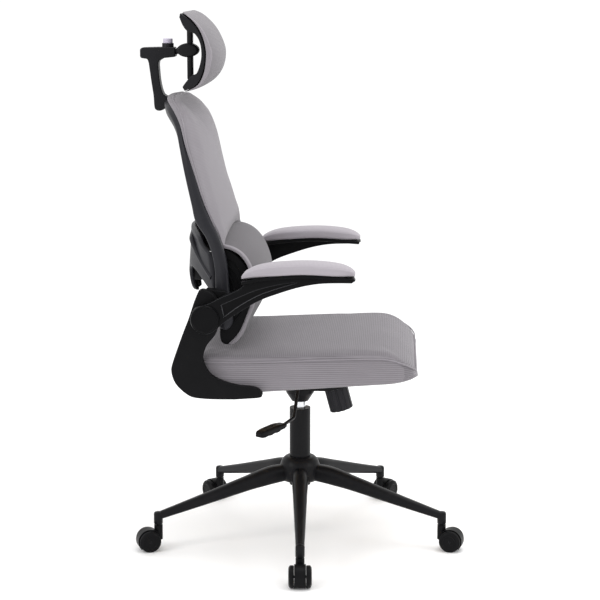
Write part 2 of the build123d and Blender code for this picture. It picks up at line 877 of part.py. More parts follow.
# ---------------------------------------------------------------- back frame
frame_rear_line = [
    (-291, back_top),
    (-284, 1038),
    (-267, 998),
    (-256, 954),
    (-243, 893),
    (-228, 825),
    (-221, 793),
    (-197, 753),
    (-182, 704),
    (-177, 639),
    (-176, 570),
]
frame_front_line = [
    (-137, 570),
    (-146, 639),
    (-151, 700),
    (-169, 758),
    (-184, 791),
    (-202, 836),
    (-215, 881),
    (-228, 930),
    (-239, 966),
    (-250, 1004),
    (-261, 1030),
    (-268, back_top),
]
rail_inner = back_half_width - rail_width
lug_inner = back_half_width - rail_width / 2
with BuildPart() as back_frame:
    with BuildSketch(side_plane):
        with BuildLine():
            Spline(*frame_rear_line)
            ThreePointArc(frame_rear_line[-1], (-156, 547), frame_front_line[0])
            Spline(*frame_front_line)
            Line(frame_front_line[-1], frame_rear_line[0])
        make_face()
    extrude(amount=back_half_width, both=True)
    with BuildSketch(front_plane):
        with BuildLine():
            Line((0, rail_bottom), (back_half_width, rail_bottom))
            Line((back_half_width, rail_bottom), (back_half_width, 850))
            RadiusArc((back_half_width, 850), (back_half_width - 12, 940), -700)
            RadiusArc((back_half_width - 12, 940), (back_half_width - 120, back_top), -back_corner)
            Line((back_half_width - 120, back_top), (0, back_top))
            Line((0, back_top), (0, rail_bottom))
        make_face()
        mirror(about=Plane.YZ)
        offset(amount=-rail_width, mode=Mode.SUBTRACT)
    extrude(amount=2 * back_half_width, both=True, mode=Mode.INTERSECT)
    # Lugs from the rails out to the side brackets.
    with BuildSketch(side_plane.offset(lug_inner)):
        Polygon((-222, 566), (-152, 570), (-152, 640), (-196, 645), align=None)
    extrude(amount=bracket_inner - lug_inner)
    mirror(about=Plane.YZ)
    # Seat for the headrest post behind the top bar.
    with BuildSketch(side_plane):
        Polygon(
            (-276, 1022),
            (-290, back_top - 1),
            (-310, back_top - 1),
            (-315.5, 1022.7),
            (-336, 1022.7),
            (-333, 1008),
            (-300, 1004),
            (-270, 1008),
            align=None,
        )
    extrude(amount=post_half_width + post_seat_margin, both=True)
    with BuildSketch(side_plane):
        with Locations(arm_pivot):
            Circle(arm_pin_radius)
    extrude(amount=2 * back_half_width, both=True, mode=Mode.SUBTRACT)
back_frame.part.label = "back_frame"
export_step(back_frame.part, "parts/back_frame.step")

# ---------------------------------------------------------------- rear bridge
bridge_upper_edge = [(0, 762), (60, 762), (120, 757), (160, 746), (rail_inner, 718)]
bridge_lower_edge = [
    (rail_inner, 626),
    (180, 656),
    (140, 675),
    (100, 672),
    (78, 652),
    (60, 622),
    (40, 606),
    (0, 605),
]
with BuildPart() as back_bridge:
    with BuildSketch(Plane.XY.offset(bridge_lower_edge[-1][1] - bridge_thickness)):
        with BuildLine():
            ThreePointArc((-rail_inner, -bridge_side), (0, -bridge_rear), (rail_inner, -bridge_side))
            Line((rail_inner, -bridge_side), (rail_inner, -bridge_side - bridge_thickness))
            ThreePointArc(
                (rail_inner, -bridge_side - bridge_thickness),
                (0, -bridge_rear - bridge_thickness),
                (-rail_inner, -bridge_side - bridge_thickness),
            )
            Line((-rail_inner, -bridge_side - bridge_thickness), (-rail_inner, -bridge_side))
        make_face()
    extrude(amount=bridge_upper_edge[0][1] - bridge_lower_edge[-1][1] + 2 * bridge_thickness)
    with BuildSketch(front_plane):
        with BuildLine():
            Spline(*bridge_upper_edge)
            Line(bridge_upper_edge[-1], bridge_lower_edge[0])
            Spline(*bridge_lower_edge)
            Line(bridge_lower_edge[-1], bridge_upper_edge[0])
        make_face()
        mirror(about=Plane.YZ)
    extrude(amount=2 * back_half_width, both=True, mode=Mode.INTERSECT)
    # Box behind the lumbar support, bored for its two guides.
    box_rear = bridge_rear + bridge_thickness / 2
    with BuildSketch(side_plane):
        Polygon(
            (box_rear, bridge_box_bottom),
            (bridge_box_front, bridge_box_bottom),
            (bridge_box_front, bridge_box_top),
            (box_rear, bridge_box_top),
            align=None,
        )
    extrude(amount=bridge_box_half_width, both=True)
    with BuildSketch(front_plane):
        with Locations((guide_spread, guide_up), (-guide_spread, guide_up)):
            Circle(guide_radius + running)
    extrude(amount=2 * back_half_width, both=True, mode=Mode.SUBTRACT)
back_bridge.part.label = "back_bridge"
export_step(back_bridge.part, "parts/back_bridge.step")

# ---------------------------------------------------------------- back pad
# Level, half width, frame face and crown of the upholstered panel.
pad_levels = [
    (762, 214, -170, -156),
    (800, 221, -187, -160),
    (850, 226, -205, -175),
    (900, 227, -219, -185),
    (950, 223, -233, -194),
    (1000, 210, -248, -206),
    (1035, 180, -262, -229),
    (1058, 130, -272, -262),
]
with BuildPart() as back_pad:
    for level, half_width, face, crown in pad_levels:
        rear = -face - pad_gap
        with BuildSketch(Plane.XY.offset(level)):
            with BuildLine():
                Line((-half_width, rear), (half_width, rear))
                Line((half_width, rear), (half_width, rear - pad_edge))
                ThreePointArc((half_width, rear - pad_edge), (0, -crown), (-half_width, rear - pad_edge))
                Line((-half_width, rear - pad_edge), (-half_width, rear))
            make_face()
    loft(ruled=True)
back_pad.part.label = "back_pad"
export_step(back_pad.part, "parts/back_pad.step")

# ---------------------------------------------------------------- lumbar support
guide_places = [(guide_spread, guide_up), (-guide_spread, guide_up)]
lumbar_shell_radius = lumbar_radius - lumbar_thickness - small_gap
lumbar_boss_front = lumbar_centre[0] + lumbar_shell_radius
guide_front = lumbar_boss_front - lumbar_shell_thickness - guide_seat
lumbar_span = lumbar_upper_angle - lumbar_lower_angle

with BuildPart() as lumbar_pad:
    with BuildSketch(side_plane):
        with BuildLine():
            front_arc = CenterArc(lumbar_centre, lumbar_radius, lumbar_lower_angle, lumbar_span)
            rear_arc = CenterArc(lumbar_centre, lumbar_radius - lumbar_thickness, lumbar_lower_angle, lumbar_span)
            Line(front_arc @ 0, rear_arc @ 0)
            Line(front_arc @ 1, rear_arc @ 1)
        make_face()
    extrude(amount=lumbar_half_width, both=True)
    lumbar_front = lumbar_pad.faces().filter_by(GeomType.CYLINDER).sort_by(SortBy.AREA)[-1]
    fillet(lumbar_front.edges().filter_by(GeomType.CIRCLE), lumbar_fillet)
lumbar_pad.part.label = "lumbar_pad"
export_step(lumbar_pad.part, "parts/lumbar_pad.step")

with BuildPart() as lumbar_shell:
    with BuildSketch(side_plane):
        with BuildLine():
            front_arc = CenterArc(lumbar_centre, lumbar_shell_radius, lumbar_lower_angle, lumbar_span)
            rear_arc = CenterArc(lumbar_centre, lumbar_shell_radius - lumbar_shell_thickness, lumbar_lower_angle, lumbar_span)
            Line(front_arc @ 0, rear_arc @ 0)
            Line(front_arc @ 1, rear_arc @ 1)
        make_face()
    extrude(amount=lumbar_half_width, both=True)
    with BuildSketch(front_plane.offset(lumbar_boss_rear)):
        with Locations(*guide_places):
            Circle(guide_radius + lumbar_shell_thickness)
    extrude(amount=lumbar_boss_front - lumbar_boss_rear)
    # The two bosses end flush with the front of the shell.
    with BuildSketch(side_plane):
        with Locations(lumbar_centre):
            Circle(lumbar_radius)
            Circle(lumbar_shell_radius, mode=Mode.SUBTRACT)
    extrude(amount=lumbar_half_width, both=True, mode=Mode.SUBTRACT)
    with BuildSketch(front_plane.offset(lumbar_boss_rear)):
        with Locations(*guide_places):
            Circle(guide_radius)
    extrude(amount=guide_front - lumbar_boss_rear, mode=Mode.SUBTRACT)
lumbar_shell.part.label = "lumbar_shell"
export_step(lumbar_shell.part, "parts/lumbar_shell.step")

with BuildPart() as lumbar_guides:
    with BuildSketch(front_plane.offset(guide_rear)):
        with Locations(*guide_places):
            Circle(guide_radius)
    extrude(amount=guide_front - guide_rear)
lumbar_guides.part.label = "lumbar_guides"
export_step(lumbar_guides.part, "parts/lumbar_guides.step")

# ---------------------------------------------------------------- headrest arm
tongue_rear = beam_rear + 2 * beam_wall
button_plane = Plane(origin=(0, -button_forward, beam_top - beam_wall), z_dir=(0, 0, 1))
with BuildPart() as headrest_post:
    with BuildSketch(side_plane):
        with BuildLine():
            Polyline(
                (-316, 1023),
                (-309, 1056),
                (-317, 1090),
                (-320, 1136),
                (-312, beam_bottom),
                (beam_front, beam_bottom),
                (beam_front, beam_top + 1),
                (beam_rear + 2, beam_top - 3),
                (beam_rear, beam_top - 5),
                (beam_rear, beam_bottom),
                (-352, beam_bottom - 3),
                (-348, 1130),
                (-341, 1084),
                (-337, 1056),
                (-334, 1023),
                (-316, 1023),
            )
        make_face()
    extrude(amount=post_half_width, both=True)
    with BuildSketch(side_plane):
        Polygon(
            (tongue_rear, beam_bottom + beam_wall),
            (beam_front + 5, beam_bottom + beam_wall),
            (beam_front + 5, beam_top - beam_wall),
            (tongue_rear, beam_top - beam_wall),
            align=None,
        )
    extrude(amount=tongue_half_width + tongue_clearance, both=True, mode=Mode.SUBTRACT)
    # Round well for the release button, and its collar.
    with BuildSketch(button_plane.offset(beam_wall - 1)):
        Circle(button_radius + button_collar_wall)
    extrude(amount=button_collar_height)
    with BuildSketch(button_plane):
        Circle(button_radius + running)
    extrude(amount=beam_wall + button_collar_height, mode=Mode.SUBTRACT)
headrest_post.part.label = "headrest_post"
export_step(headrest_post.part, "parts/headrest_post.step")

with BuildPart() as headrest_button:
    with BuildSketch(button_plane.offset(button_travel + small_gap)):
        Circle(button_radius)
    extrude(amount=button_height)
    fillet(headrest_button.edges().sort_by(Axis.Z)[-1], 1.5)
headrest_button.part.label = "headrest_button"
export_step(headrest_button.part, "parts/headrest_button.step")

pin_forward, pin_up = headrest_pin
with BuildPart() as headrest_slider:
    with BuildSketch(side_plane):
        Polygon(
            (tongue_rear + 1, beam_bottom + beam_wall + tongue_clearance),
            (beam_front + 1, beam_bottom + beam_wall + tongue_clearance),
            (beam_front + 1, beam_top - beam_wall - tongue_clearance),
            (tongue_rear + 1, beam_top - beam_wall - tongue_clearance),
            align=None,
        )
    extrude(amount=tongue_half_width, both=True)
    with BuildSketch(side_plane):
        with Locations(headrest_pin):
            Circle(nose_radius)
        Polygon(
            (beam_front - 5, beam_bottom + beam_wall + tongue_clearance),
            (pin_forward, pin_up - nose_radius),
            headrest_pin,
            (beam_front - 5, beam_top - beam_wall - tongue_clearance),
            align=None,
        )
    extrude(amount=nose_half_width, both=True)
    with BuildSketch(side_plane):
        with Locations(headrest_pin):
            Circle(headrest_pin_radius)
    extrude(amount=post_half_width, both=True, mode=Mode.SUBTRACT)
headrest_slider.part.label = "headrest_slider"
export_step(headrest_slider.part, "parts/headrest_slider.step")

cheek_inner = nose_half_width + small_gap
cheek_outer = cheek_inner + cheek_thickness
with BuildPart() as headrest_pin_part:
    with BuildSketch(side_plane):
        with Locations(headrest_pin):
            Circle(headrest_pin_radius)
    extrude(amount=cheek_outer + 1, both=True)
headrest_pin_part.part.label = "headrest_pin"
export_step(headrest_pin_part.part, "parts/headrest_pin.step")

block_rear = rail_rear - 5
block_front = rail_front + 11
with BuildPart() as headrest_bracket:
    with BuildSketch(side_plane):
        with Locations(((block_rear + block_front) / 2, (block_bottom + block_top) / 2)):
            RectangleRounded(block_front - block_rear, block_top - block_bottom, 6)
    extrude(amount=headrest_bracket_half_width, both=True)
    for lateral in (cheek_outer, -cheek_inner):
        with BuildSketch(side_plane.offset(lateral)):
            with Locations(headrest_pin):
                Circle(nose_radius)
            Polygon(
                (pin_forward, pin_up - nose_radius),
                (block_rear + 4, block_bottom + 4),
                (block_rear + 4, block_top - 4),
                (pin_forward, pin_up + nose_radius),
                align=None,
            )
        extrude(amount=-cheek_thickness)
    with BuildSketch(side_plane):
        with Locations(headrest_pin):
            Circle(headrest_pin_radius + running)
    extrude(amount=headrest_bracket_half_width, both=True, mode=Mode.SUBTRACT)
    with BuildSketch(side_plane):
        Polygon(
            (rail_rear - tongue_clearance, block_bottom - 5),
            (rail_front + tongue_clearance, block_bottom - 5),
            (rail_front + tongue_clearance, block_top + 5),
            (rail_rear - tongue_clearance, block_top + 5),
            align=None,
        )
    extrude(amount=rail_half_width + tongue_clearance, both=True, mode=Mode.SUBTRACT)
headrest_bracket.part.label = "headrest_bracket"
export_step(headrest_bracket.part, "parts/headrest_bracket.step")

# ---------------------------------------------------------------- headrest
headrest_seam = [
    (-254, 1246),
    (-232, 1232),
    (-212, 1203),
    (-201, 1167),
    (-202, 1134),
    (-209, 1106),
    (-221, 1086),
    (-252, 1074),
]
plate_rear = [
    (-258, 1239),
    (-253, 1218),
    (-243, 1206),
    (-229, 1204),
    (-217, 1187),
    (-212, 1166),
    (-213, 1143),
    (-224, 1112),
    (-238, 1107),
    (-251, 1091),
    (-251, 1078),
]
with BuildPart() as headrest_plate:
    with BuildSketch(side_plane):
        with BuildLine():
            Spline(*headrest_seam)
            Line(headrest_seam[-1], plate_rear[-1])
            Polyline(*reversed(plate_rear))
            Line(plate_rear[0], headrest_seam[0])
        make_face()
    extrude(amount=headrest_plate_half_width, both=True)
    with BuildSketch(side_plane):
        Polygon(
            (rail_rear, rail_low),
            (rail_front, rail_low),
            (rail_front, rail_high),
            (rail_rear, rail_high),
            align=None,
        )
    extrude(amount=rail_half_width, both=True)
headrest_plate.part.label = "headrest_plate"
export_step(headrest_plate.part, "parts/headrest_plate.step")

headrest_crown = [
    (-254, 1249),
    (-223, 1235),
    (-196, 1210),
    (-180, 1183),
    (-172, 1155),
    (-176, 1128),
    (-187, 1105),
    (-204, 1088),
    (-231, 1075),
    (-254, 1071),
]
with BuildPart() as headrest_pad:
    with BuildSketch(side_plane):
        with BuildLine():
            Spline(*headrest_crown)
            Line(headrest_crown[-1], headrest_seam[-1])
            Spline(*reversed(headrest_seam))
            Line(headrest_seam[0], headrest_crown[0])
        make_face()
    extrude(amount=headrest_half_width, both=True)
headrest_pad.part.label = "headrest_pad"
export_step(headrest_pad.part, "parts/headrest_pad.step")
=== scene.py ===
import json
from math import cos, pi, radians, sin

import bpy
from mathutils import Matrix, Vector


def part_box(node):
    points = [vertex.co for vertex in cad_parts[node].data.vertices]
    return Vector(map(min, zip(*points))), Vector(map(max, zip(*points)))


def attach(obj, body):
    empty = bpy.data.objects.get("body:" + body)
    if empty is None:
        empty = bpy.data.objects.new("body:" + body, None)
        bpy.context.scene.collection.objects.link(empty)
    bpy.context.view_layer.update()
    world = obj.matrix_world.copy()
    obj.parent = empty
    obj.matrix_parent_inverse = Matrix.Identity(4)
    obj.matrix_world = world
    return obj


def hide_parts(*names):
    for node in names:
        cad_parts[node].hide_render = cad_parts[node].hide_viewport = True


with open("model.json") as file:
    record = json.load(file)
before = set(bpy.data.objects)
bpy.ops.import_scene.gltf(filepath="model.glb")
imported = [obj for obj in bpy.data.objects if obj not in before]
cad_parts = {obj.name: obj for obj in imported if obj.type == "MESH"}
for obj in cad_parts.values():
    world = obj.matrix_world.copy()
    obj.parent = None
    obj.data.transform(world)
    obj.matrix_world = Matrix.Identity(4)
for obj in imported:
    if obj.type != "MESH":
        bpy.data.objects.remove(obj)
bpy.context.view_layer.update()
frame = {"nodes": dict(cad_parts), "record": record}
print("frame loaded:", len(frame["nodes"]), "nodes")


# small helpers
def at(lateral, forward, up):
    # chair directions in millimetres: to the sitter's right, forward, up
    return Vector((-lateral, -forward, up)) / 1000


def ease(share):
    share = min(1, max(0, share))
    return share * share * (3 - 2 * share)


def between(low, high, share):
    return low + (high - low) * share


def smoothChain(points):
    # a function that walks smoothly through the points, by length, as its share goes 0 to 1
    knots = [Vector(point) for point in points]
    reach = [0]
    for before, after in zip(knots, knots[1:]):
        reach.append(reach[-1] + (after - before).length)
    last = len(knots) - 1
    slopes = []
    for i in range(len(knots)):
        low, high = max(0, i - 1), min(last, i + 1)
        slopes.append((knots[high] - knots[low]) / (reach[high] - reach[low]))

    def walk(share):
        target = min(1, max(0, share)) * reach[-1]
        i = 0
        while i < last - 1 and reach[i + 1] < target:
            i += 1
        span = reach[i + 1] - reach[i]
        s = (target - reach[i]) / span
        start = knots[i] * (2 * s**3 - 3 * s**2 + 1) + slopes[i] * (span * (s**3 - 2 * s**2 + s))
        return start + knots[i + 1] * (3 * s**2 - 2 * s**3) + slopes[i + 1] * (span * (s**3 - s**2))

    return walk


def smoothHeight(points):
    # a function that reads a smooth line through (x, y) points at any x
    xs = [point[0] for point in points]
    ys = [point[1] for point in points]
    last = len(xs) - 1
    slopes = []
    for i in range(len(xs)):
        low, high = max(0, i - 1), min(last, i + 1)
        slopes.append((ys[high] - ys[low]) / (xs[high] - xs[low]))

    def read(x):
        x = min(xs[-1], max(xs[0], x))
        i = 0
        while i < last - 1 and xs[i + 1] < x:
            i += 1
        span = xs[i + 1] - xs[i]
        s = (x - xs[i]) / span
        start = ys[i] * (2 * s**3 - 3 * s**2 + 1) + slopes[i] * span * (s**3 - 2 * s**2 + s)
        return start + ys[i + 1] * (3 * s**2 - 2 * s**3) + slopes[i + 1] * span * (s**3 - s**2)

    return read


def deselectAll():
    bpy.ops.object.select_all(action="DESELECT")


def roundedSection(halfWide, halfHigh, radius, steps=4):
    # points round a rounded rectangle, anticlockwise from the right side
    radius = min(radius, halfWide * 0.98, halfHigh * 0.98)
    points = []
    for corner in range(4):
        middleX = (halfWide - radius) * (1 if corner in (0, 3) else -1)
        middleY = (halfHigh - radius) * (1 if corner in (0, 1) else -1)
        for step in range(steps + 1):
            angle = (corner + step / steps) * pi / 2
            points.append((middleX + radius * cos(angle), middleY + radius * sin(angle)))
    return points


def closeAndTurnOut(fillEnds=True):
    bpy.ops.object.mode_set(mode="EDIT")
    bpy.ops.mesh.select_all(action="SELECT")
    bpy.ops.mesh.remove_doubles(threshold=0.00002)
    if fillEnds:
        bpy.ops.mesh.fill_holes(sides=0)
    bpy.ops.mesh.select_all(action="SELECT")
    bpy.ops.mesh.normals_make_consistent(inside=False)
    bpy.ops.object.mode_set(mode="OBJECT")


def wrapGrid(name, around, along, place, fillEnds=True):
    # a grid laid on a shape: place(u, v) gives each vertex, u goes round and v along
    deselectAll()
    bpy.ops.mesh.primitive_grid_add(x_subdivisions=around, y_subdivisions=along, size=1)
    piece = bpy.context.object
    piece.name = piece.data.name = name
    for vertex in piece.data.vertices:
        vertex.co = place(vertex.co.x + 0.5, vertex.co.y + 0.5)
    closeAndTurnOut(fillEnds)
    return piece


def wrapRings(name, rings):
    # the same, from a list of rings with equal numbers of points
    around, along = len(rings[0]), len(rings) - 1

    def place(u, v):
        return rings[round(v * along)][round(u * around) % around]

    return wrapGrid(name, around, along, place)


def lathe(name, centre, axis, profile, steps=48):
    # turns (radius, along) points about an axis through centre
    axis = Vector(axis).normalized()
    side = axis.orthogonal().normalized()
    other = axis.cross(side)

    def place(u, v):
        radius, along = profile[round(v * (len(profile) - 1))]
        spoke = side * cos(2 * pi * u) + other * sin(2 * pi * u)
        return centre + (spoke * radius + axis * along) / 1000

    return wrapGrid(name, steps, len(profile) - 1, place)


def pillowCube(name, cuts, place):
    # a cube cut finely, each vertex then pushed to its place on the pad
    deselectAll()
    bpy.ops.mesh.primitive_cube_add(size=2)
    piece = bpy.context.object
    piece.name = piece.data.name = name
    bpy.ops.object.mode_set(mode="EDIT")
    bpy.ops.mesh.select_all(action="SELECT")
    bpy.ops.mesh.subdivide(number_cuts=cuts)
    bpy.ops.object.mode_set(mode="OBJECT")
    for vertex in piece.data.vertices:
        vertex.co = place(*vertex.co)
    closeAndTurnOut(False)
    return piece


def roundEdge(a, b, c, halfDeep, edgeRadius, reach, cornerTop, cornerLow):
    # cube place to (across share, along share, depth share) with a rolled rim and round corners
    level = max(abs(a), abs(b), 0.0001)
    if abs(c) < 0.999:
        level = 1
    inner = min(level * reach, reach - edgeRadius)
    middle = min(halfDeep - edgeRadius, max(edgeRadius - halfDeep, c * halfDeep))
    out = Vector((level * reach - inner, c * halfDeep - middle))
    if out.length > edgeRadius * 0.999:
        out = out.normalized() * edgeRadius
    shrink = (inner + out.x) / (level * reach)
    depth = (middle + out.y) / halfDeep
    corner = (cornerTop if b > 0 else cornerLow) * level
    wide, high = abs(a), abs(b)
    pinWide, pinHigh = min(wide, level - corner), min(high, level - corner)
    off = Vector((wide - pinWide, high - pinHigh))
    if off.x > 0 and off.y > 0:
        off = off.normalized() * max(off.x, off.y)
    across = (pinWide + off.x) * shrink * (1 if a > 0 else -1)
    along = (pinHigh + off.y) * shrink * (1 if b > 0 else -1)
    return across, along, depth


def applyModifier(piece, kind, **settings):
    deselectAll()
    bpy.context.view_layer.objects.active = piece
    piece.select_set(True)
    modifier = piece.modifiers.new(kind.title(), kind)
    for key, value in settings.items():
        setattr(modifier, key, value)
    bpy.ops.object.modifier_apply(modifier=modifier.name)


def smoothShade(piece, angle=40):
    deselectAll()
    bpy.context.view_layer.objects.active = piece
    piece.select_set(True)
    bpy.ops.object.shade_smooth_by_angle(angle=radians(angle))


def soften(piece, levels=1):
    applyModifier(piece, "SUBSURF", levels=levels, render_levels=levels)


def settle(piece, body, material, nodes=()):
    # gives a finished piece its material and body, and hides the CAD nodes it stands for
    if material and len(piece.data.materials) < 2:
        piece.data.materials.clear()
        piece.data.materials.append(material)
    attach(piece, body)
    if nodes:
        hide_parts(*nodes)
    return piece


def mirrored(piece, name):
    deselectAll()
    piece.select_set(True)
    bpy.context.view_layer.objects.active = piece
    bpy.ops.object.duplicate()
    twin = bpy.context.object
    twin.name = twin.data.name = name
    for vertex in twin.data.vertices:
        vertex.co.x = -vertex.co.x
    bpy.ops.object.mode_set(mode="EDIT")
    bpy.ops.mesh.select_all(action="SELECT")
    bpy.ops.mesh.flip_normals()
    bpy.ops.object.mode_set(mode="OBJECT")
    return twin


# materials
def nodeMaker(material):
    nodes, links = material.node_tree.nodes, material.node_tree.links

    def make(kind, inputs=(), **settings):
        node = nodes.new(kind)
        for key, value in settings.items():
            setattr(node, key, value)
        for key, value in dict(inputs).items():
            if isinstance(value, bpy.types.NodeSocket):
                links.new(value, node.inputs[key])
            else:
                node.inputs[key].default_value = value
        return node

    return make


def startMaterial(name, roughness, specular=0.5):
    material = bpy.data.materials.new(name)
    material.use_nodes = True
    shader = material.node_tree.nodes["Principled BSDF"]
    shader.inputs["Roughness"].default_value = roughness
    shader.inputs["Specular IOR Level"].default_value = specular
    return material, shader, nodeMaker(material)


fabricLook = {
    "pitch": 0.0043,
    "yarn": 0.0019,
    "dark": (0.115, 0.106, 0.116, 1),
    "light": (0.235, 0.220, 0.238, 1),
    "relief": 0.0006,
}


def ribbedFabric(name, paintedLight=1.0, pitch=None, relief=1.0, contrast=1.0):
    # the second argument makes the whole colour lighter or darker: painted light and shade for the surface
    # the copy is used on
    material, shader, make = startMaterial(name, 0.86, 0.25)
    links = material.node_tree.links
    shader.inputs["Sheen Weight"].default_value = 0.18
    shader.inputs["Sheen Roughness"].default_value = 0.45
    pitch = pitch or fabricLook["pitch"]
    coords = make("ShaderNodeTexCoord")
    place = make("ShaderNodeSeparateXYZ", {0: coords.outputs["Object"]})
    facing = make("ShaderNodeSeparateXYZ", {0: coords.outputs["Normal"]})

    def wave(source, length, phase=0.0):
        scaled = make("ShaderNodeMath", {0: source, 1: 2 * pi / length}, operation="MULTIPLY")
        shifted = make("ShaderNodeMath", {0: scaled.outputs[0], 1: phase}, operation="ADD")
        curve = make("ShaderNodeMath", {0: shifted.outputs[0]}, operation="SINE")
        return make("ShaderNodeMath", {0: curve.outputs[0],
            1: 0.5, 2: 0.5}, operation="MULTIPLY_ADD").outputs[0]

    # ribs run level: they step in height on upright faces and forward on flat ones
    upright = wave(place.outputs["Z"], pitch)
    flat = wave(place.outputs["Y"], pitch)
    lying = make("ShaderNodeMath", {0: facing.outputs["Z"]}, operation="ABSOLUTE")
    share = make("ShaderNodeMapRange", {0: lying.outputs[0],
        1: 0.62, 2: 0.8}, interpolation_type="SMOOTHSTEP")
    rib = make("ShaderNodeMix", {0: share.outputs[0], 2: upright, 3: flat}, data_type="FLOAT").outputs[0]
    sideways = make("ShaderNodeMath", {0: facing.outputs["X"]}, operation="ABSOLUTE")
    sideShare = make("ShaderNodeMapRange", {0: sideways.outputs[0], 1: 0.6, 2: 0.8})
    alongX = wave(place.outputs["X"], fabricLook["yarn"])
    alongY = wave(place.outputs["Y"], fabricLook["yarn"])
    yarn = make("ShaderNodeMix", {0: sideShare.outputs[0],
        2: alongX, 3: alongY}, data_type="FLOAT").outputs[0]
    cloud = make("ShaderNodeTexNoise", {"Vector": coords.outputs["Object"], "Scale": 9.0, "Detail": 3.0})
    fuzz = make("ShaderNodeTexNoise", {"Vector": coords.outputs["Object"], "Scale": 900.0, "Detail": 2.0})
    yarnPart = make("ShaderNodeMath", {0: yarn, 1: 0.28}, operation="MULTIPLY").outputs[0]
    ribPart = make("ShaderNodeMath", {0: rib, 1: 0.72, 2: yarnPart}, operation="MULTIPLY_ADD").outputs[0]
    height = make("ShaderNodeMath", {0: fuzz.outputs[0],
        1: 0.3, 2: ribPart}, operation="MULTIPLY_ADD").outputs[0]
    shade = make("ShaderNodeMath", {0: cloud.outputs[0],
        1: 0.45, 2: height}, operation="MULTIPLY_ADD").outputs[0]
    # the colour runs from dark in the grooves of the ribs and yarn to light on their crests, painted shade
    # in the grooves, with random tone from the cloud and fuzz noise
    spread = make("ShaderNodeMapRange",
        {0: shade, 1: 0.1, 2: 1.35, 3: 0.5 - contrast / 2, 4: 0.5 + contrast / 2})
    dark = [channel * paintedLight for channel in fabricLook["dark"][:3]] + [1]
    light = [channel * paintedLight for channel in fabricLook["light"][:3]] + [1]
    colour = make("ShaderNodeMix", {0: spread.outputs[0], 6: dark, 7: light}, data_type="RGBA")
    links.new(colour.outputs[2], shader.inputs["Base Color"])
    bump = make("ShaderNodeBump",
        {"Height": height, "Strength": 0.55, "Distance": fabricLook["relief"] * relief})
    links.new(bump.outputs[0], shader.inputs["Normal"])
    return material


def mouldedPlastic(name, colour, roughness, shine, grain=1.0, grainSize=1400.0):
    material, shader, make = startMaterial(name, roughness, shine)
    links = material.node_tree.links
    coords = make("ShaderNodeTexCoord")
    fine = make("ShaderNodeTexVoronoi", {"Vector": coords.outputs["Object"], "Scale": grainSize})
    soft = make("ShaderNodeTexNoise", {"Vector": coords.outputs["Object"], "Scale": 38.0, "Detail": 4.0})
    polish = make("ShaderNodeMapRange", {0: soft.outputs[0], 3: roughness - 0.06, 4: roughness + 0.08})
    links.new(polish.outputs[0], shader.inputs["Roughness"])
    lighter = [min(1, channel * 1.35 + 0.001) for channel in colour] + [1]
    tone = make("ShaderNodeMix", {0: soft.outputs[0], 6: [*colour, 1], 7: lighter}, data_type="RGBA")
    links.new(tone.outputs[2], shader.inputs["Base Color"])
    bump = make("ShaderNodeBump", {"Height": fine.outputs[0], "Strength": 0.22 * grain, "Distance": 0.0003})
    links.new(bump.outputs[0], shader.inputs["Normal"])
    return material


def metal(name, colour, roughness, metallic=1.0, streak=0.0, shine=0.5):
    material, shader, make = startMaterial(name, roughness, shine)
    links = material.node_tree.links
    shader.inputs["Metallic"].default_value = metallic
    coords = make("ShaderNodeTexCoord")
    stretch = make("ShaderNodeMapping", {"Vector": coords.outputs["Object"],
        "Scale": (1, 1, 1 + 60 * streak)})
    mottle = make("ShaderNodeTexNoise", {"Vector": stretch.outputs[0], "Scale": 60.0, "Detail": 5.0})
    polish = make("ShaderNodeMapRange", {0: mottle.outputs[0], 3: roughness * 0.75, 4: roughness * 1.3})
    links.new(polish.outputs[0], shader.inputs["Roughness"])
    lighter = [min(1, channel * 1.25 + 0.002) for channel in colour] + [1]
    tone = make("ShaderNodeMix", {0: mottle.outputs[0], 6: [*colour, 1], 7: lighter}, data_type="RGBA")
    links.new(tone.outputs[2], shader.inputs["Base Color"])
    bump = make("ShaderNodeBump", {"Height": mottle.outputs[0], "Strength": 0.05, "Distance": 0.0002})
    links.new(bump.outputs[0], shader.inputs["Normal"])
    return material


def plywood(name):
    material, shader, make = startMaterial(name, 0.6)
    links = material.node_tree.links
    coords = make("ShaderNodeTexCoord")
    stretch = make("ShaderNodeMapping", {"Vector": coords.outputs["Object"], "Scale": (4, 40, 160)})
    grain = make("ShaderNodeTexNoise", {"Vector": stretch.outputs[0], "Scale": 3.0, "Detail": 6.0})
    tone = make(
        "ShaderNodeMix",
        {0: grain.outputs[0], 6: (0.42, 0.27, 0.13, 1), 7: (0.66, 0.48, 0.28, 1)},
        data_type="RGBA",
    )
    links.new(tone.outputs[2], shader.inputs["Base Color"])
    return material


# one grey fabric in lit and shaded copies: the second number of each is painted light and shade, making that
# surface lighter or darker for how the light falls on it; the band and welt copies are painted highlights on
# edges lit from the camera side
seatTopShadedCloth = ribbedFabric("seatTopShadedCloth", 0.90)
seatSideLitCloth = ribbedFabric("seatSideLitCloth", 1.08, pitch=0.0045)
seatBandHighlightCloth = ribbedFabric("seatBandHighlightCloth", 1.25, pitch=0.0022, relief=0.4, contrast=0.4)
backCloth = ribbedFabric("backCloth", 1.12, pitch=0.0030, relief=0.35, contrast=0.45)
lumbarShadedCloth = ribbedFabric("lumbarShadedCloth", 0.55, pitch=0.0030, relief=0.5, contrast=0.5)
armLitCloth = ribbedFabric("armLitCloth", 1.85, pitch=0.0028, relief=0.6, contrast=0.6)
headCloth = ribbedFabric("headCloth", 0.86, pitch=0.0028, relief=0.5, contrast=0.6)
backEdgeHighlightCloth = ribbedFabric("backEdgeHighlightCloth", 1.3, pitch=0.0022, relief=0.3, contrast=0.4)
weltHighlightCloth = ribbedFabric("weltHighlightCloth", 1.32, pitch=0.0022, relief=0.3, contrast=0.4)
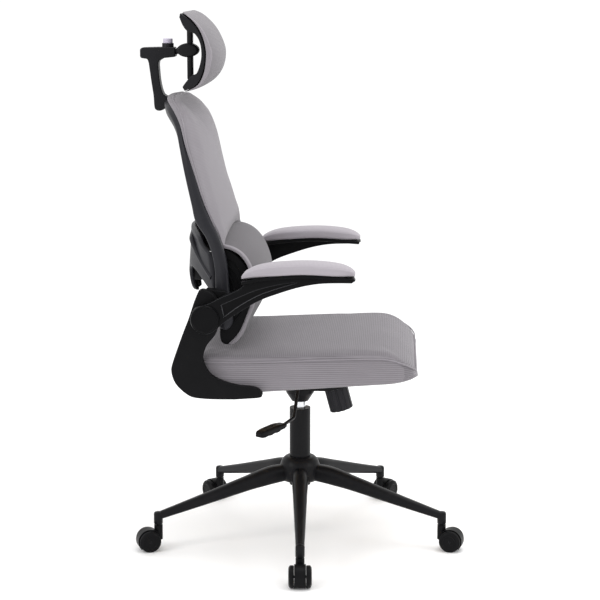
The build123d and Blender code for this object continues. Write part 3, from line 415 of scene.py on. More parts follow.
frameNylon = mouldedPlastic("frameNylon", (0.013, 0.013, 0.016), 0.38, 0.16)
headNylon = mouldedPlastic("headNylon", (0.009, 0.009, 0.0105), 0.36, 0.12)
# a lighter grey nylon laid on the arm's rolled edges: a painted highlight
armEdgeHighlightNylon = mouldedPlastic("armEdgeHighlightNylon", (0.05, 0.05, 0.055), 0.30, 0.2)
bracketNylon = mouldedPlastic("bracketNylon", (0.0045, 0.0045, 0.005), 0.44, 0.06)
armNylon = mouldedPlastic("armNylon", (0.003, 0.003, 0.0034), 0.30, 0.06)
casterNylon = mouldedPlastic("casterNylon", (0.004, 0.004, 0.0045), 0.34, 0.08)
buttonPlastic = mouldedPlastic("buttonPlastic", (0.42, 0.39, 0.47), 0.42, 0.3)
blackSteel = metal("blackSteel", (0.006, 0.006, 0.007), 0.34, metallic=0.0, shine=0.1)
chromeSteel = metal("chromeSteel", (0.60, 0.61, 0.63), 0.22, streak=1.0)
boardPly = plywood("boardPly")
slotMaterials = {
    "grey_fabric": seatTopShadedCloth,
    "black_nylon": frameNylon,
    "painted_steel": blackSteel,
    "bright_steel": chromeSteel,
    "grey_plastic": buttonPlastic,
    "plywood": boardPly,
}
slotOfNode = {row["node"]: row["material_slot"] for row in frame["record"]["subparts"]}
for nodeName, node in frame["nodes"].items():
    node.data.materials.clear()
    node.data.materials.append(slotMaterials[slotOfNode[nodeName]])
for nodeName in frame["nodes"]:
    if nodeName.startswith("caster"):
        frame["nodes"][nodeName].data.materials[0] = blackSteel if "stem" in nodeName else casterNylon
print("materials made")

# how a pad is inflated: solver quality, pressure, frames, and how many metres a point may move
inflation = {"quality": 5, "pressure": 4, "frames": 20, "padCap": 0.0025, "armCap": 0.0015}


def clothSettle(piece, cap, isPinned):
    # inflates a pad a little as cloth, and keeps each point within cap metres of where it was
    before = [vertex.co.copy() for vertex in piece.data.vertices]
    pins = piece.vertex_groups.new(name="pins")
    pins.add([vertex.index for vertex in piece.data.vertices if isPinned(vertex.co)], 1.0, "REPLACE")
    deselectAll()
    piece.select_set(True)
    bpy.context.view_layer.objects.active = piece
    cloth = piece.modifiers.new("Cloth", "CLOTH")
    cloth.settings.quality = inflation["quality"]
    cloth.settings.vertex_group_mass = "pins"
    cloth.settings.use_pressure = True
    cloth.settings.uniform_pressure_force = inflation["pressure"]
    cloth.settings.effector_weights.gravity = 0
    cloth.point_cache.frame_start = 1
    cloth.point_cache.frame_end = inflation["frames"]
    for step in range(1, inflation["frames"] + 1):
        bpy.context.scene.frame_set(step)
    bpy.ops.object.modifier_apply(modifier=cloth.name)
    bpy.context.scene.frame_set(1)
    for vertex, start in zip(piece.data.vertices, before):
        moved = vertex.co - start
        if moved.length > cap:
            vertex.co = start + moved.normalized() * cap
    piece.vertex_groups.clear()


def bandFaces(piece, index, chosen):
    # gives the chosen faces the material in that place
    for face in piece.data.polygons:
        if chosen(face.center):
            face.material_index = index


def sideSlab(name, outline, inner, outer, edge, edgeIndex=-1):
    # a plate with a side outline of (forward, up) points, from inner to outer across, with rolled edges
    deselectAll()
    bpy.ops.mesh.primitive_circle_add(vertices=len(outline), radius=1, fill_type="NGON")
    piece = bpy.context.object
    piece.name = piece.data.name = name
    for vertex, (forward, up) in zip(piece.data.vertices, outline):
        vertex.co = at(inner, forward, up)
    bpy.ops.object.mode_set(mode="EDIT")
    bpy.ops.mesh.select_all(action="SELECT")
    bpy.ops.mesh.extrude_region_move(TRANSFORM_OT_translate={"value": (-(outer - inner) / 1000, 0, 0)})
    bpy.ops.mesh.select_all(action="SELECT")
    bpy.ops.mesh.normals_make_consistent(inside=False)
    bpy.ops.object.mode_set(mode="OBJECT")
    # with an edge index the rolled edges get the lighter grey nylon, a painted highlight along the edges
    if edgeIndex > 0:
        piece.data.materials.append(armNylon)
        piece.data.materials.append(armEdgeHighlightNylon)
    rolled = {"segments": 4, "limit_method": "ANGLE", "angle_limit": radians(35), "material": edgeIndex}
    applyModifier(piece, "BEVEL", width=edge / 1000, **rolled)
    smoothShade(piece, 50)
    return piece


def curveThrough(points, count):
    # evenly spaced (forward, up) points on a smooth line through the given ones
    walk = smoothChain(points)
    return [tuple(walk(step / (count - 1))) for step in range(count)]


# seat cushion: crowned top, sewn side band, sides that bow out a little
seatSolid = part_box("seat_cushion")
seat = {
    "halfWidth": seatSolid[1][0] * 1000,
    "rear": -seatSolid[1][1] * 1000,
    "front": -seatSolid[0][1] * 1000,
    "bottomCentre": 413,
    "slope": 0.075,
    "edgeRadius": 17,
    "halfDeep": 46,
    "cuts": 39,
    "band": 14,
}
seatCrown = smoothHeight(
    [(-218, 503), (-150, 500), (-100, 500), (0, 504), (117, 508), (186, 509), (218, 505), (245, 493),
    (266, 476), (278, 458)]
)


def seatPlace(a, b, c):
    a = a * (1.35 - 0.35 * a * a)
    b = b * (1.35 - 0.35 * b * b)
    across, along, depth = roundEdge(a, b, c, seat["halfDeep"], seat["edgeRadius"], 245, 0.20, 0.12)
    share = (depth + 1) / 2
    middle = (seat["front"] + seat["rear"]) / 2
    reach = (seat["front"] - seat["rear"]) / 2
    if b > 0:
        reach -= 12 * max(0, (share - 0.5) / 0.5) ** 2 + 17 * max(0, (0.5 - share) / 0.5) ** 1.6
    bulge = 1 + 0.010 * sin(pi * min(1, share / 0.8)) * (1 - 0.6 * along * along)
    lateral = across * seat["halfWidth"] * bulge
    forward = middle + along * reach
    low = seat["bottomCentre"] + seat["slope"] * forward
    high = seatCrown(forward) - 7 * across * across
    return at(lateral, forward, between(low, high, share))


seatPad = pillowCube("seat_pad", seat["cuts"], seatPlace)
clothSettle(seatPad, inflation["padCap"], lambda co: co.z * 1000 < seat["bottomCentre"] + 30)
soften(seatPad)
smoothShade(seatPad, 60)
# the top takes a darker cloth than the sides: painted shade on the top and painted light on the sides
settle(seatPad, "seat", seatTopShadedCloth, ["seat_cushion"])
seatPad.data.materials.append(seatSideLitCloth)
seatPad.data.materials.append(seatBandHighlightCloth)
seatSeamHeight = smoothHeight([(-218, 484), (-69, 494), (47, 503), (162, 506), (256, 499), (278, 486)])


def onSeatSide(co, below):
    # on the sewn side of the cushion, that far below the seam
    beside = abs(co.x) * 1000 > seat["halfWidth"] - 5
    outside = beside or not seat["rear"] + 8 < -co.y * 1000 < seat["front"] - 12
    return outside and co.z * 1000 < seatSeamHeight(-co.y * 1000) - below


# the sewn band just below the seam gets a lighter cloth than the side: a painted highlight where the top
# rolls over into the side
bandFaces(seatPad, 2, lambda co: onSeatSide(co, 0))
bandFaces(seatPad, 1, lambda co: onSeatSide(co, seat["band"]))


def tubeAlong(name, points, radius, sides=8, closed=True):
    # a round tube through a list of places
    count = len(points)
    rings = []
    for i, point in enumerate(points):
        ahead = points[(i + 1) % count] if closed or i < count - 1 else point
        behind = points[i - 1] if closed or i > 0 else point
        forward = (ahead - behind).normalized()
        side = forward.cross(Vector((0, 0, 1)))
        side = side.normalized() if side.length > 0.05 else Vector((1, 0, 0))
        over = side.cross(forward).normalized()
        ring = []
        for step in range(sides):
            angle = 2 * pi * step / sides
            ring.append(point + (side * cos(angle) + over * sin(angle)) * radius / 1000)
        rings.append(ring)
    if closed:
        rings.append(rings[0])
    return wrapRings(name, rings)


def squareWalk(share):
    # round the square from its rear right corner, as (across, along)
    side, rest = divmod(share * 4, 1)
    step = 2 * rest - 1
    return [(1, step), (-step, 1), (-1, -step), (step, -1)][int(side) % 4]


# the welt round the seat seam is a lighter cloth: a painted highlight
seatWelt = tubeAlong("seat_welt", [seatPlace(*squareWalk(step / 240), 0.66) for step in range(240)], 1.6)
smoothShade(seatWelt, 70)
settle(seatWelt, "seat", weltHighlightCloth)
print("seat done")

# upper back pad: bowed across, its lower edge follows the lumbar support
backFace = smoothHeight(
    [(730, -162), (762, -171), (800, -187), (850, -205), (900, -219), (950, -233), (1000, -248),
    (1035, -261), (1060, -273)]
)
backCrown = smoothHeight(
    [(728, -158), (750, -157), (770, -156), (788, -160), (824, -168), (857, -179), (905, -190),
    (957, -200), (990, -211), (1018, -227), (1038, -244), (1056, -268)]
)
backWidth = smoothHeight([(730, 208), (762, 214), (800, 221), (850, 226), (920, 227), (1000, 222),
    (1060, 212)])
backPadSize = {"low": 751, "high": 1060, "cuts": 39, "sideDrop": 18, "topDrop": 12, "tuck": 6}


def topBow(lateral, up):
    # how far the top of the back curves rearwards towards its middle
    return 27 * max(0, 1 - (lateral / 200) ** 2) * ease((up - 950) / 100)




def backPlace(a, b, c):
    a = a * (1.3 - 0.3 * a * a)
    b = b * (1.3 - 0.3 * b * b)
    across, along, depth = roundEdge(a, b, c, 16, 9, 225, 0.60, 0.06)
    share = (depth + 1) / 2
    low = backPadSize["low"] - backPadSize["sideDrop"] * across * across
    high = backPadSize["high"] - backPadSize["topDrop"] * across * across
    up = between(low, high, (along + 1) / 2)
    lateral = across * backWidth(up)
    rear = backFace(up) - topBow(lateral, up) - backPadSize["tuck"]
    rim = backFace(up) + 8
    crown = max(backCrown(up), rim)
    front = between(rim, crown, max(0, 1 - abs(across) ** 2.3) ** 0.85)
    return at(lateral, between(rear, front, share), up)


backPad = pillowCube("back_pad_cover", backPadSize["cuts"], backPlace)
clothSettle(backPad, inflation["padCap"], lambda co: -co.y * 1000 < backFace(co.z * 1000) + 4)
soften(backPad)
smoothShade(backPad, 60)
settle(backPad, "seat", backCloth, ["back_pad"])
# the welt round the back pad is a lighter cloth: a painted highlight on the edge near the frame
backWelt = tubeAlong("back_welt", [backPlace(*squareWalk(step / 240), -0.1) for step in range(240)], 1.4)
smoothShade(backWelt, 70)
settle(backWelt, "seat", backEdgeHighlightCloth)
print("back pad done")

# lumbar support: a rolled pad on a black shell with deep side walls
lumbarLine = smoothChain(
    [(-176, 744), (-160, 745), (-140, 743), (-122, 737), (-105, 726), (-91, 710), (-80, 689),
    (-72, 665), (-69, 642), (-73, 616), (-86, 588), (-102, 560), (-117, 535), (-134, 515), (-156, 503)]
)
lumbarSetBack = smoothHeight([(0, 8), (0.3, 18), (0.5, 18), (0.7, 9), (0.85, 2), (1, 0)])
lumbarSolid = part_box("lumbar_pad")
lumbar = {
    "halfWidth": lumbarSolid[1][0] * 1000,
    "thickness": 23,
    "edgeThickness": 8,
    "centre": (-204, 629),
    "cuts": 33,
    "band": 9,
    "wallInner": 52,
    "wallThickness": 8,
    "wallInset": 5,
}


def lumbarPlace(a, b, c, depthStart=0, depthEnd=None, width=None):
    a = a * (1.3 - 0.3 * a * a)
    b = b * (1.2 - 0.2 * b * b)
    across, along, depth = roundEdge(a, b, c, 12, 7, 190, 0.1, 0.1)
    share = (1 - depth) / 2
    way = (1 - along) / 2
    point = lumbarLine(way)
    inward = (Vector(lumbar["centre"]) - point).normalized()
    toEdge = abs(across) ** 2.6
    outer = depthStart + lumbarSetBack(way) * toEdge
    inner = between(depthEnd or lumbar["thickness"], lumbarSetBack(way) + lumbar["edgeThickness"], toEdge)
    deep = between(outer, max(inner, outer + 4), share)
    point = point + inward * deep
    return at(across * (width or lumbar["halfWidth"]), point.x, point.y)


lumbarPad = pillowCube("lumbar_pad_cover", lumbar["cuts"], lumbarPlace)
clothSettle(lumbarPad, inflation["padCap"],
    lambda co: (Vector((-co.y, co.z)) * 1000 - Vector(lumbar["centre"])).length < 120)
soften(lumbarPad)
smoothShade(lumbarPad, 60)
# the lumbar pad's cloth is made much darker than the rest: painted shade on its oblique front
settle(lumbarPad, "lumbar", lumbarShadedCloth, ["lumbar_pad"])
# the side bands of the lumbar pad get a lighter cloth: painted light on the side walls lit from the camera
# side
lumbarPad.data.materials.append(weltHighlightCloth)
bandFaces(lumbarPad, 1, lambda co: abs(co.x) * 1000 > lumbar["halfWidth"] - lumbar["band"])


def shellPlace(a, b, c):
    return lumbarPlace(a, b, c, 24, 31, lumbar["halfWidth"] - 8)


lumbarShell = pillowCube("lumbar_back_shell", 23, shellPlace)
smoothShade(lumbarShell, 40)
settle(lumbarShell, "lumbar", armNylon, ["lumbar_shell"])


def arcPoint(angle, radius):
    centre = lumbar["centre"]
    return (centre[0] + radius * cos(radians(angle)), centre[1] + radius * sin(radians(angle)))


wallOutline = curveThrough(
    [(-168, 727), (-157, 726), (-140, 718), (-124, 704), (-110, 686), (-100, 664), (-95, 638),
    (-95, 612), (-100, 588), (-109, 562), (-121, 538), (-134, 520), (-146, 511), (-158, 508),
    (-167, 513), (-171, 527), (-171, 545)], 60
)
wallOutline += [arcPoint(angle, lumbar["wallInner"]) for angle in range(-48, 50, 8)]
wallEdge = lumbar["halfWidth"] - lumbar["wallInset"]
wallSpan = (wallEdge - lumbar["wallThickness"], wallEdge)
wallRight = sideSlab("lumbar_wall_right", wallOutline, *wallSpan, 2.5)
wallLeft = mirrored(wallRight, "lumbar_wall_left")
for wall in (wallRight, wallLeft):
    settle(wall, "lumbar", armNylon)
for side in (1, -1):
    for number, radius in enumerate((66, 80, 93)):
        ribPath = [at(side * wallEdge, *arcPoint(angle, radius)) for angle in range(-58, 60, 4)]
        rib = tubeAlong(f"lumbar_rib_{number}_{'right' if side > 0 else 'left'}", ribPath, 1.6, closed=False)
        smoothShade(rib, 60)
        settle(rib, "lumbar", armNylon)
print("lumbar done")

# arm pads: long rounded pads with blunt front ends
trayLine = smoothHeight([(-114, 671), (-74, 679), (-29, 684), (15, 687), (59, 686), (102, 682), (136, 680)])
padTop = smoothHeight([(-114, 682), (-104, 693), (-70, 706), (-10, 713), (50, 714), (100, 709),
    (126, 701), (136, 694)])
armPadSize = {"centre": 273, "halfWidth": 35, "rear": -114, "front": 136, "cuts": 23}


def armPadPlace(a, b, c):
    b = b * (1.25 - 0.25 * b * b)
    across, along, depth = roundEdge(a, b, c, 13, 8, 35, 0.7, 0.85)
    share = (depth + 1) / 2
    middle = (armPadSize["front"] + armPadSize["rear"]) / 2
    half = (armPadSize["front"] - armPadSize["rear"]) / 2
    forward = middle + half * along
    lateral = armPadSize["centre"] + across * armPadSize["halfWidth"]
    low = trayLine(forward) + 0.3
    high = padTop(forward) - 5 * across**2
    return at(lateral, forward, between(low, high, share))


armPadRight = pillowCube("arm_pad_cover_right", armPadSize["cuts"], armPadPlace)
clothSettle(armPadRight, inflation["armCap"], lambda co: co.z * 1000 < trayLine(-co.y * 1000) + 5)
soften(armPadRight)
smoothShade(armPadRight, 60)
armPadLeft = mirrored(armPadRight, "arm_pad_cover_left")
# the arm pads get a much lighter cloth: painted light on their tops, lit from above
settle(armPadRight, "armrest_right", armLitCloth, ["arm_pad_right"])
settle(armPadLeft, "armrest_left", armLitCloth, ["arm_pad_left"])
print("arm pads done")

# arms: a curved beam with a long recess, a round hub and a tray under the pad
arm = {"inner": 274, "outer": 300, "edge": 2.5, "hub": (-193, 586),
    "hubRadius": 33, "disc": 32, "trayThick": 7}
armUpper = curveThrough([(-210, 615), (-190, 619), (-155, 636), (-122, 651), (-108, 662), (-113, 671)], 14)
armTray = curveThrough([(-112, 671), (-74, 679), (-29, 684), (15, 687), (59, 686), (102, 682),
    (134, 680)], 26)
armLower = curveThrough(
    [(137, 675), (130, 670), (112, 670), (59, 668), (15, 660), (-30, 646), (-74, 629), (-118, 603),
    (-156, 576), (-168, 563)], 34
)
hubArc = [
    (arm["hub"][0] + arm["hubRadius"] * cos(radians(angle)),
    arm["hub"][1] + arm["hubRadius"] * sin(radians(angle)))
    for angle in range(-40, -240, -12)
]
armBeam = sideSlab(
    "arm_beam_right", armUpper[1:] + armTray[1:] + armLower + hubArc, arm["inner"], arm["outer"],
    arm["edge"], 1
)
recessUpper = curveThrough([(-158, 619), (-118, 637), (-80, 653), (-30, 666), (10, 672)], 20)
recessLower = curveThrough([(10, 668), (-30, 656), (-74, 640), (-118, 615), (-152, 590)], 20)
armCut = sideSlab("arm_cut", recessUpper + recessLower, arm["outer"] - 6, arm["outer"] + 4, 1.5, 1)
applyModifier(armBeam, "BOOLEAN", operation="DIFFERENCE", object=armCut, solver="EXACT")
deselectAll()
armCut.select_set(True)
bpy.ops.object.delete()
smoothShade(armBeam, 40)
trayUnder = [(forward, up - arm["trayThick"]) for forward, up in reversed(armTray)]
armTrayPiece = sideSlab("arm_tray_right", armTray + trayUnder, 241, 305, 2)
armDisc = lathe(
    "arm_disc_right",
    at(arm["outer"], *arm["hub"]),
    (-1, 0, 0),
    [(1, -2), (arm["disc"], -2), (arm["disc"], 3.5), (arm["disc"] - 1.5, 6), (28, 6.8), (26.5, 5.4),
    (12, 5.0), (1, 5.0)],
)
smoothShade(armDisc, 35)
armCore = lathe("arm_pivot_right", at(235, *arm["hub"]), (-1, 0, 0), [(1, 0), (6, 0), (6, 66), (1, 66)], 24)
smoothShade(armCore, 35)
for right, body, nodes in (
    (armBeam, "armrest_right", ["arm_right"]),
    (armTrayPiece, "armrest_right", []),
    (armDisc, "seat", ["arm_pin_right"]),
    (armCore, "seat", []),
):
    left = mirrored(right, right.name.replace("right", "left"))
    settle(right, body, armNylon, nodes)
    settle(left, body.replace("right", "left"),
        armNylon, [node.replace("right", "left") for node in nodes])
print("arms done")

# side brackets: bent arms that carry the back and the armrests
bracketOuter = curveThrough(
    [(-164, 600), (-176, 636), (-205, 648), (-216, 630), (-227, 599), (-233, 581), (-246, 548),
    (-271, 477), (-273, 461), (-265, 436), (-246, 415), (-222, 402), (-139, 399), (-72, 404)], 60
)
bracketInner = curveThrough(
    [(-68, 412), (-83, 425), (-134, 432), (-170, 445), (-188, 458), (-200, 482), (-202, 495),
    (-193, 521), (-172, 549), (-166, 580)], 40
)
bracketRight = sideSlab("side_bracket_right", bracketOuter + bracketInner, 249, 273, 5)
footCorners = [(-136, 402.8), (-80, 407), (-80, 401), (-136, 396.8)]
footRight = sideSlab("bracket_foot_right", footCorners, 181, 262, 1)
lugRight = sideSlab("frame_lug_right", [(-222, 566), (-152, 570), (-152, 640), (-196, 645)], 222, 249, 3)
for right, nodes in ((bracketRight, ["seat_bracket_right"]), (footRight, []), (lugRight, [])):
    left = mirrored(right, right.name.replace("right", "left"))
    settle(right, "seat", bracketNylon, nodes)
    settle(left, "seat", bracketNylon, [node.replace("right", "left") for node in nodes])
print("brackets done")

# back frame: one hoop of two facets, from the foot of one rail over the top to the other
frameRear = smoothHeight(
    [(547, -158), (552, -168), (562, -175), (600, -176), (639, -177), (704, -181), (753, -196),
    (793, -221), (825, -228), (893, -243), (954, -256), (998, -267), (1038, -284), (1054, -291)]
)
frameFront = smoothHeight(
    [(547, -154), (552, -145), (562, -139), (600, -140), (639, -146), (700, -151), (736, -160),
    (768, -172), (791, -184), (836, -202), (881, -215), (930, -228), (966, -239), (1004, -250),
    (1030, -261), (1054, -270)]
)
hoopHalf = [(220, 548), (220, 640), (220, 750), (219, 850), (216, 905), (208, 945), (190, 985),
    (160, 1014), (120, 1030), (60, 1036)]
hoopPath = smoothChain(hoopHalf + [(0, 1037)] + [(-x, z) for x, z in reversed(hoopHalf)])
hoopSection = [
    (-14, 0.04), (-15, 0.16), (-15, 0.5), (-15, 0.84), (-13, 0.97), (-6, 1), (3, 1), (9, 0.97),
    (12, 0.88), (14.4, 0.60), (15, 0.52), (14.2, 0.44), (10, 0.12), (8, 0.03), (0, 0), (-9, 0),
]


def hoopPlace(u, v):
    centre = hoopPath(v)
    ahead, behind = hoopPath(v + 0.004), hoopPath(v - 0.004)
    way = (ahead - behind).normalized()
    outward = Vector((way.y, -way.x))
    spread, share = hoopSection[round(u * 16) % 16]
    edge = centre + outward * spread
    low, high = frameRear(centre.y), frameFront(centre.y)
    return at(edge.x, between(low, high, share) - topBow(edge.x, edge.y), edge.y)


backHoop = wrapGrid("back_hoop", 16, 160, hoopPlace)
soften(backHoop)
smoothShade(backHoop, 32)
settle(backHoop, "seat", frameNylon, ["back_frame"])
print("frame done")

# bridge behind the lumbar support, bowed back, with a shallow arch below and a raised diagonal rib each side
bridgeUpper = smoothHeight([(0, 762), (60, 762), (120, 757), (160, 748), (208, 722)])
bridgeLower = smoothHeight([(0, 605), (42, 606), (60, 622), (78, 652), (100, 671), (130, 672),
    (165, 658), (208, 624)])
bridgeRear = smoothHeight([(600, -238), (610, -250), (634, -258), (674, -264), (717, -268), (741, -266),
    (762, -251)])

bridgeHalfWidth = 213


def bridgePlace(u, v):
    lateral = (2 * v - 1) * bridgeHalfWidth
    wide = abs(lateral)
    low, high = bridgeLower(wide), bridgeUpper(wide)
    section = roundedSection(5, (high - low) / 2, 4.8)
    depth, height = section[round(u * len(section)) % len(section)]
    up = (low + high) / 2 + height
    rear = bridgeRear(up) + 72 * (wide / 208) ** 2.1
    return at(lateral, rear + 5 + depth, up)


backBridge = wrapGrid("bridge_shell", 20, 72, bridgePlace)
soften(backBridge)
smoothShade(backBridge, 45)
settle(backBridge, "seat", frameNylon, ["back_bridge"])
for side in (1, -1):
    path = []
    for number, (lateral, up) in enumerate(curveThrough([(70, 748), (120, 736), (150, 716), (180, 690),
        (208, 664)], 24)):
        rear = bridgeRear(up) + 72 * (lateral / 208) ** 2.1
        path.append(at(side * lateral, rear + between(12, 4.5, ease(number / 8)), up))
    diagonal = tubeAlong(f"bridge_rib_{'right' if side > 0 else 'left'}", path, 6, sides=14, closed=False)
    smoothShade(diagonal, 60)
    settle(diagonal, "seat", frameNylon)
bridgeBox = sideSlab("bridge_guide_box", [(-248, 634), (-196, 634), (-196, 680), (-248, 680)], -68, 68, 5)
settle(bridgeBox, "seat", headNylon)
print("bridge done")

# headrest pad, shell, rail, bracket and post
headCrown = smoothChain(
    [(-256, 1249), (-240, 1244), (-225, 1234), (-210, 1222), (-198, 1209), (-183, 1183), (-175, 1157),
    (-178, 1128), (-189, 1105), (-206, 1088), (-231, 1075), (-254, 1070)]
)
headSeam = smoothChain(
    [(-257, 1249), (-233, 1232), (-213, 1203), (-203, 1167), (-204, 1134), (-211, 1106), (-224, 1086),
    (-253, 1073)]
)
headPadSize = {"halfWidth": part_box("headrest_pad")[1][0] * 1000, "band": 7}


def headPadPlace(a, b, c):
    a = a * (1.25 - 0.25 * a * a)
    across, along, depth = roundEdge(a, b, c, 14, 9, 145, 0.22, 0.22)
    share = (depth + 1) / 2
    way = (1 - along) / 2
    seam, crown = headSeam(way), headCrown(way)
    bow = max(0, 1 - abs(across) ** 2.6)
    front = seam + (crown - seam) * (0.45 + 0.55 * bow)
    point = between(seam, front, share)
    lateral = across * headPadSize["halfWidth"] * (1 - 0.03 * (2 * way - 1) ** 2)
    return at(lateral, point.x, point.y)


headPad = pillowCube("headrest_pad_cover", 31, headPadPlace)
soften(headPad)
smoothShade(headPad, 60)
settle(headPad, "headrest", headCloth, ["headrest_pad"])
# the side bands of the headrest pad get a lighter cloth: a painted highlight near the seam
headPad.data.materials.append(weltHighlightCloth)
bandFaces(headPad, 1, lambda co: abs(co.x) * 1000 > headPadSize["halfWidth"] - headPadSize["band"])
shellFront = curveThrough(
    [(-259, 1247), (-235, 1230), (-215, 1202), (-205, 1167), (-206, 1134), (-213, 1107), (-226, 1087),
    (-251, 1075)], 40
)
shellRear = curveThrough(
    [(-256, 1084), (-247, 1096), (-236, 1108), (-224, 1114), (-214, 1142), (-213, 1167), (-218, 1188),
    (-229, 1203), (-243, 1207), (-253, 1219), (-261, 1238)], 44
)
headShell = sideSlab("headrest_shell", shellFront + shellRear, -141, 141, 2)
headRail = sideSlab("headrest_rail", [(-260, 1092), (-247, 1092), (-247, 1213), (-260, 1213)], -12, 12, 4)
settle(headShell, "headrest", headNylon, ["headrest_plate"])
settle(headRail, "headrest", headNylon)
ovalOutline = [(-258 + 25 * cos(pi * step / 18), 1160 + 16 * sin(pi * step / 18)) for step in range(36)]
headOval = sideSlab("headrest_oval", ovalOutline, -20, 20, 5)
settle(headOval, "headrest_mount", headNylon, ["headrest_bracket"])
postOutline = [(-366, 1142), (-368, 1146), (-368, 1162), (-364, 1166), (-330, 1167), (-287, 1167),
    (-286, 1145), (-314, 1142), (-325, 1135)]
postOutline += curveThrough([(-326, 1126), (-323, 1090), (-317, 1064), (-311, 1056), (-296, 1054)], 14)
postOutline += [(-290, 1052), (-292, 1034), (-300, 1026)]
postOutline += curveThrough([(-306, 1032), (-315, 1024), (-326, 1021), (-335, 1025), (-338, 1056),
    (-342, 1084), (-348, 1130)], 22) + [(-351, 1140)]
headPost = sideSlab("headrest_upright", postOutline, -18, 18, 3.5)
headCollar = lathe(
    "button_collar",
    at(0, -305, 1164),
    (0, 0, 1),
    [(11.4, 0), (13.5, 0), (13.5, 11), (12.8, 12), (11.4, 12), (11.4, 0)],
)
smoothShade(headCollar, 35)
for piece, nodes in ((headPost, ["headrest_post"]), (headCollar, [])):
    settle(piece, "seat", headNylon, nodes)
print("headrest done")

# lever grip: a flat paddle with finger scallops below
grip = {"start": (170, -28, 318), "end": (240, -81, 310), "halfWide": 14, "halfHigh": 8.5, "scallops": 4}


def gripPlace(a, b, c):
    across, along, depth = roundEdge(a, b, c, 8, 5, 14, 0.5, 0.4)
    start, end = Vector(grip["start"]), Vector(grip["end"])
    way = end - start
    side = Vector((way.y, -way.x, 0)).normalized()
    share = (along + 1) / 2
    height = grip["halfHigh"] * (0.62 + 0.38 * ease(share * 2.5))
    if depth < 0:
        scallop = 0.5 + 0.5 * cos(2 * pi * grip["scallops"] * share)
        height -= 1.6 * scallop * ease(share * 5) * ease((1 - share) * 5)
    place = start + way * share + side * across * grip["halfWide"] + Vector((0, 0, depth * height))
    return at(*place)


leverPaddle = pillowCube("lever_paddle", 31, gripPlace)
smoothShade(leverPaddle, 60)
settle(leverPaddle, "lever", casterNylon, ["lever_grip"])
print("lever done")

# base: a turned hub and five rounded, tapering legs, each ending in a caster socket
base = {
    "turn": 183.1,
    "hubProfile": [(25.2, 198), (30, 198.5), (36, 196), (43, 189), (47, 178), (48.5, 162), (47, 148),
    (42, 140), (34, 137), (25.2, 137)],
    "rootRadius": 34,
    "tipRadius": 350,
    "socketProfile": [(5.2, 62.5), (9.5, 62.5), (10.5, 63.5), (10.5, 86), (9, 90), (5, 91.5), (1, 92)],
}
legCentre = smoothHeight([(34, 160), (80, 154), (150, 136), (250, 108), (350, 81)])
legHalfWide = smoothHeight([(34, 18), (80, 19), (130, 17), (250, 13), (350, 9.5)])
legHalfHigh = smoothHeight([(34, 20), (80, 21), (130, 18), (250, 13), (350, 9)])


def legPlace(u, v):
    reach = between(base["rootRadius"], base["tipRadius"], v)
    section = roundedSection(legHalfWide(reach), legHalfHigh(reach), 0.8 * legHalfWide(reach), 5)
    wide, high = section[round(u * len(section)) % len(section)]
    return Vector((reach, wide, legCentre(reach) + high)) / 1000


def turnAboutUp(piece, degrees):
    for vertex in piece.data.vertices:
        x, y = vertex.co.x, vertex.co.y
        c, d = cos(radians(degrees)), sin(radians(degrees))
        vertex.co.x, vertex.co.y = x * c - y * d, x * d + y * c


hub = lathe("hub_turned", Vector((0, 0, 0)), (0, 0, 1), base["hubProfile"], 64)
smoothShade(hub, 50)
settle(hub, "base", blackSteel, ["base_hub"])
for number in range(1, 6):
    leg = wrapGrid(f"leg_{number}", 24, 40, legPlace)
    socket = lathe(f"socket_{number}", Vector((base["tipRadius"] / 1000, 0, 0)), (0, 0, 1),
        base["socketProfile"], 32)
    for piece, nodes in ((leg, [f"base_leg_{number}"]), (socket, [])):
        turnAboutUp(piece, base["turn"] + 72 * (number - 1))
        smoothShade(piece, 45)
        settle(piece, "base", blackSteel, nodes)
print("base done")

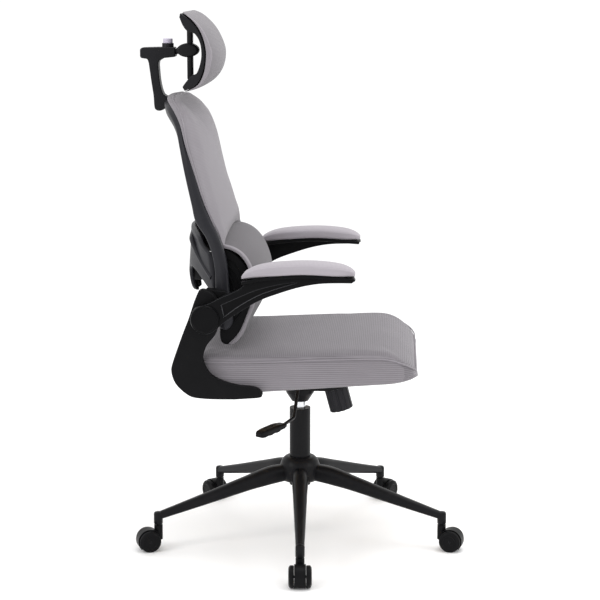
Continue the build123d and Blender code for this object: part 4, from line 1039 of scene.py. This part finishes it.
# stage, lights and camera
stageLook = {
    "floorSize": 30.0,
    "floorGrey": 1.0,
    "floorRoughness": 0.9,
    "skyColour": (1, 1, 1, 1),
    "skyStrength": 1.05,
}
deselectAll()
bpy.ops.mesh.primitive_plane_add(size=stageLook["floorSize"], location=(0, 0, 0))
floor = bpy.context.object
floor.name = "floor"
floorPaint, floorShader, make = startMaterial("floorPaint", stageLook["floorRoughness"], 0.0)
floorShader.inputs["Base Color"].default_value = (stageLook["floorGrey"],) * 3 + (1,)
floor.data.materials.append(floorPaint)

world = bpy.data.worlds.new("studio")
bpy.context.scene.world = world
world.use_nodes = True
backdrop = world.node_tree.nodes["Background"]
backdrop.inputs["Color"].default_value = stageLook["skyColour"]
backdrop.inputs["Strength"].default_value = stageLook["skyStrength"]


def softBox(name, place, target, size, power):
    light = bpy.data.lights.new(name, "AREA")
    light.shape = "RECTANGLE"
    light.size, light.size_y = size
    light.energy = power
    lamp = bpy.data.objects.new(name, light)
    bpy.context.collection.objects.link(lamp)
    lamp.location = place
    lamp.rotation_mode = "QUATERNION"
    lamp.rotation_quaternion = (Vector(target) - Vector(place)).to_track_quat("-Z", "Y")
    return lamp


# each light's place, the point it faces, its size and its power
softBoxes = {
    "topLight": ((0.2, -0.6, 3.2), (0, 0, 0.6), (2.2, 2.2), 40),
    "frontLight": ((-1.6, -3.4, 2.0), (0, 0, 0.7), (1.6, 1.6), 25),
    "rearLight": ((-1.8, 2.6, 2.2), (0, 0, 0.8), (1.2, 1.8), 30),
}
for name, values in softBoxes.items():
    softBox(name, *values)

view = {"place": (-4.0733, -0.2200, 1.3334), "target": (0, 0, 0.5764), "lens": 105.56, "sensor": 36}
cameraData = bpy.data.cameras.new("camera")
cameraData.lens = view["lens"]
cameraData.sensor_width = view["sensor"]
camera = bpy.data.objects.new("camera", cameraData)
bpy.context.collection.objects.link(camera)
camera.location = view["place"]
camera.rotation_mode = "QUATERNION"
camera.rotation_quaternion = (Vector(view["target"]) - camera.location).to_track_quat("-Z", "Y")
bpy.context.scene.camera = camera
bpy.context.scene.view_settings.view_transform = "Standard"
print("stage done")
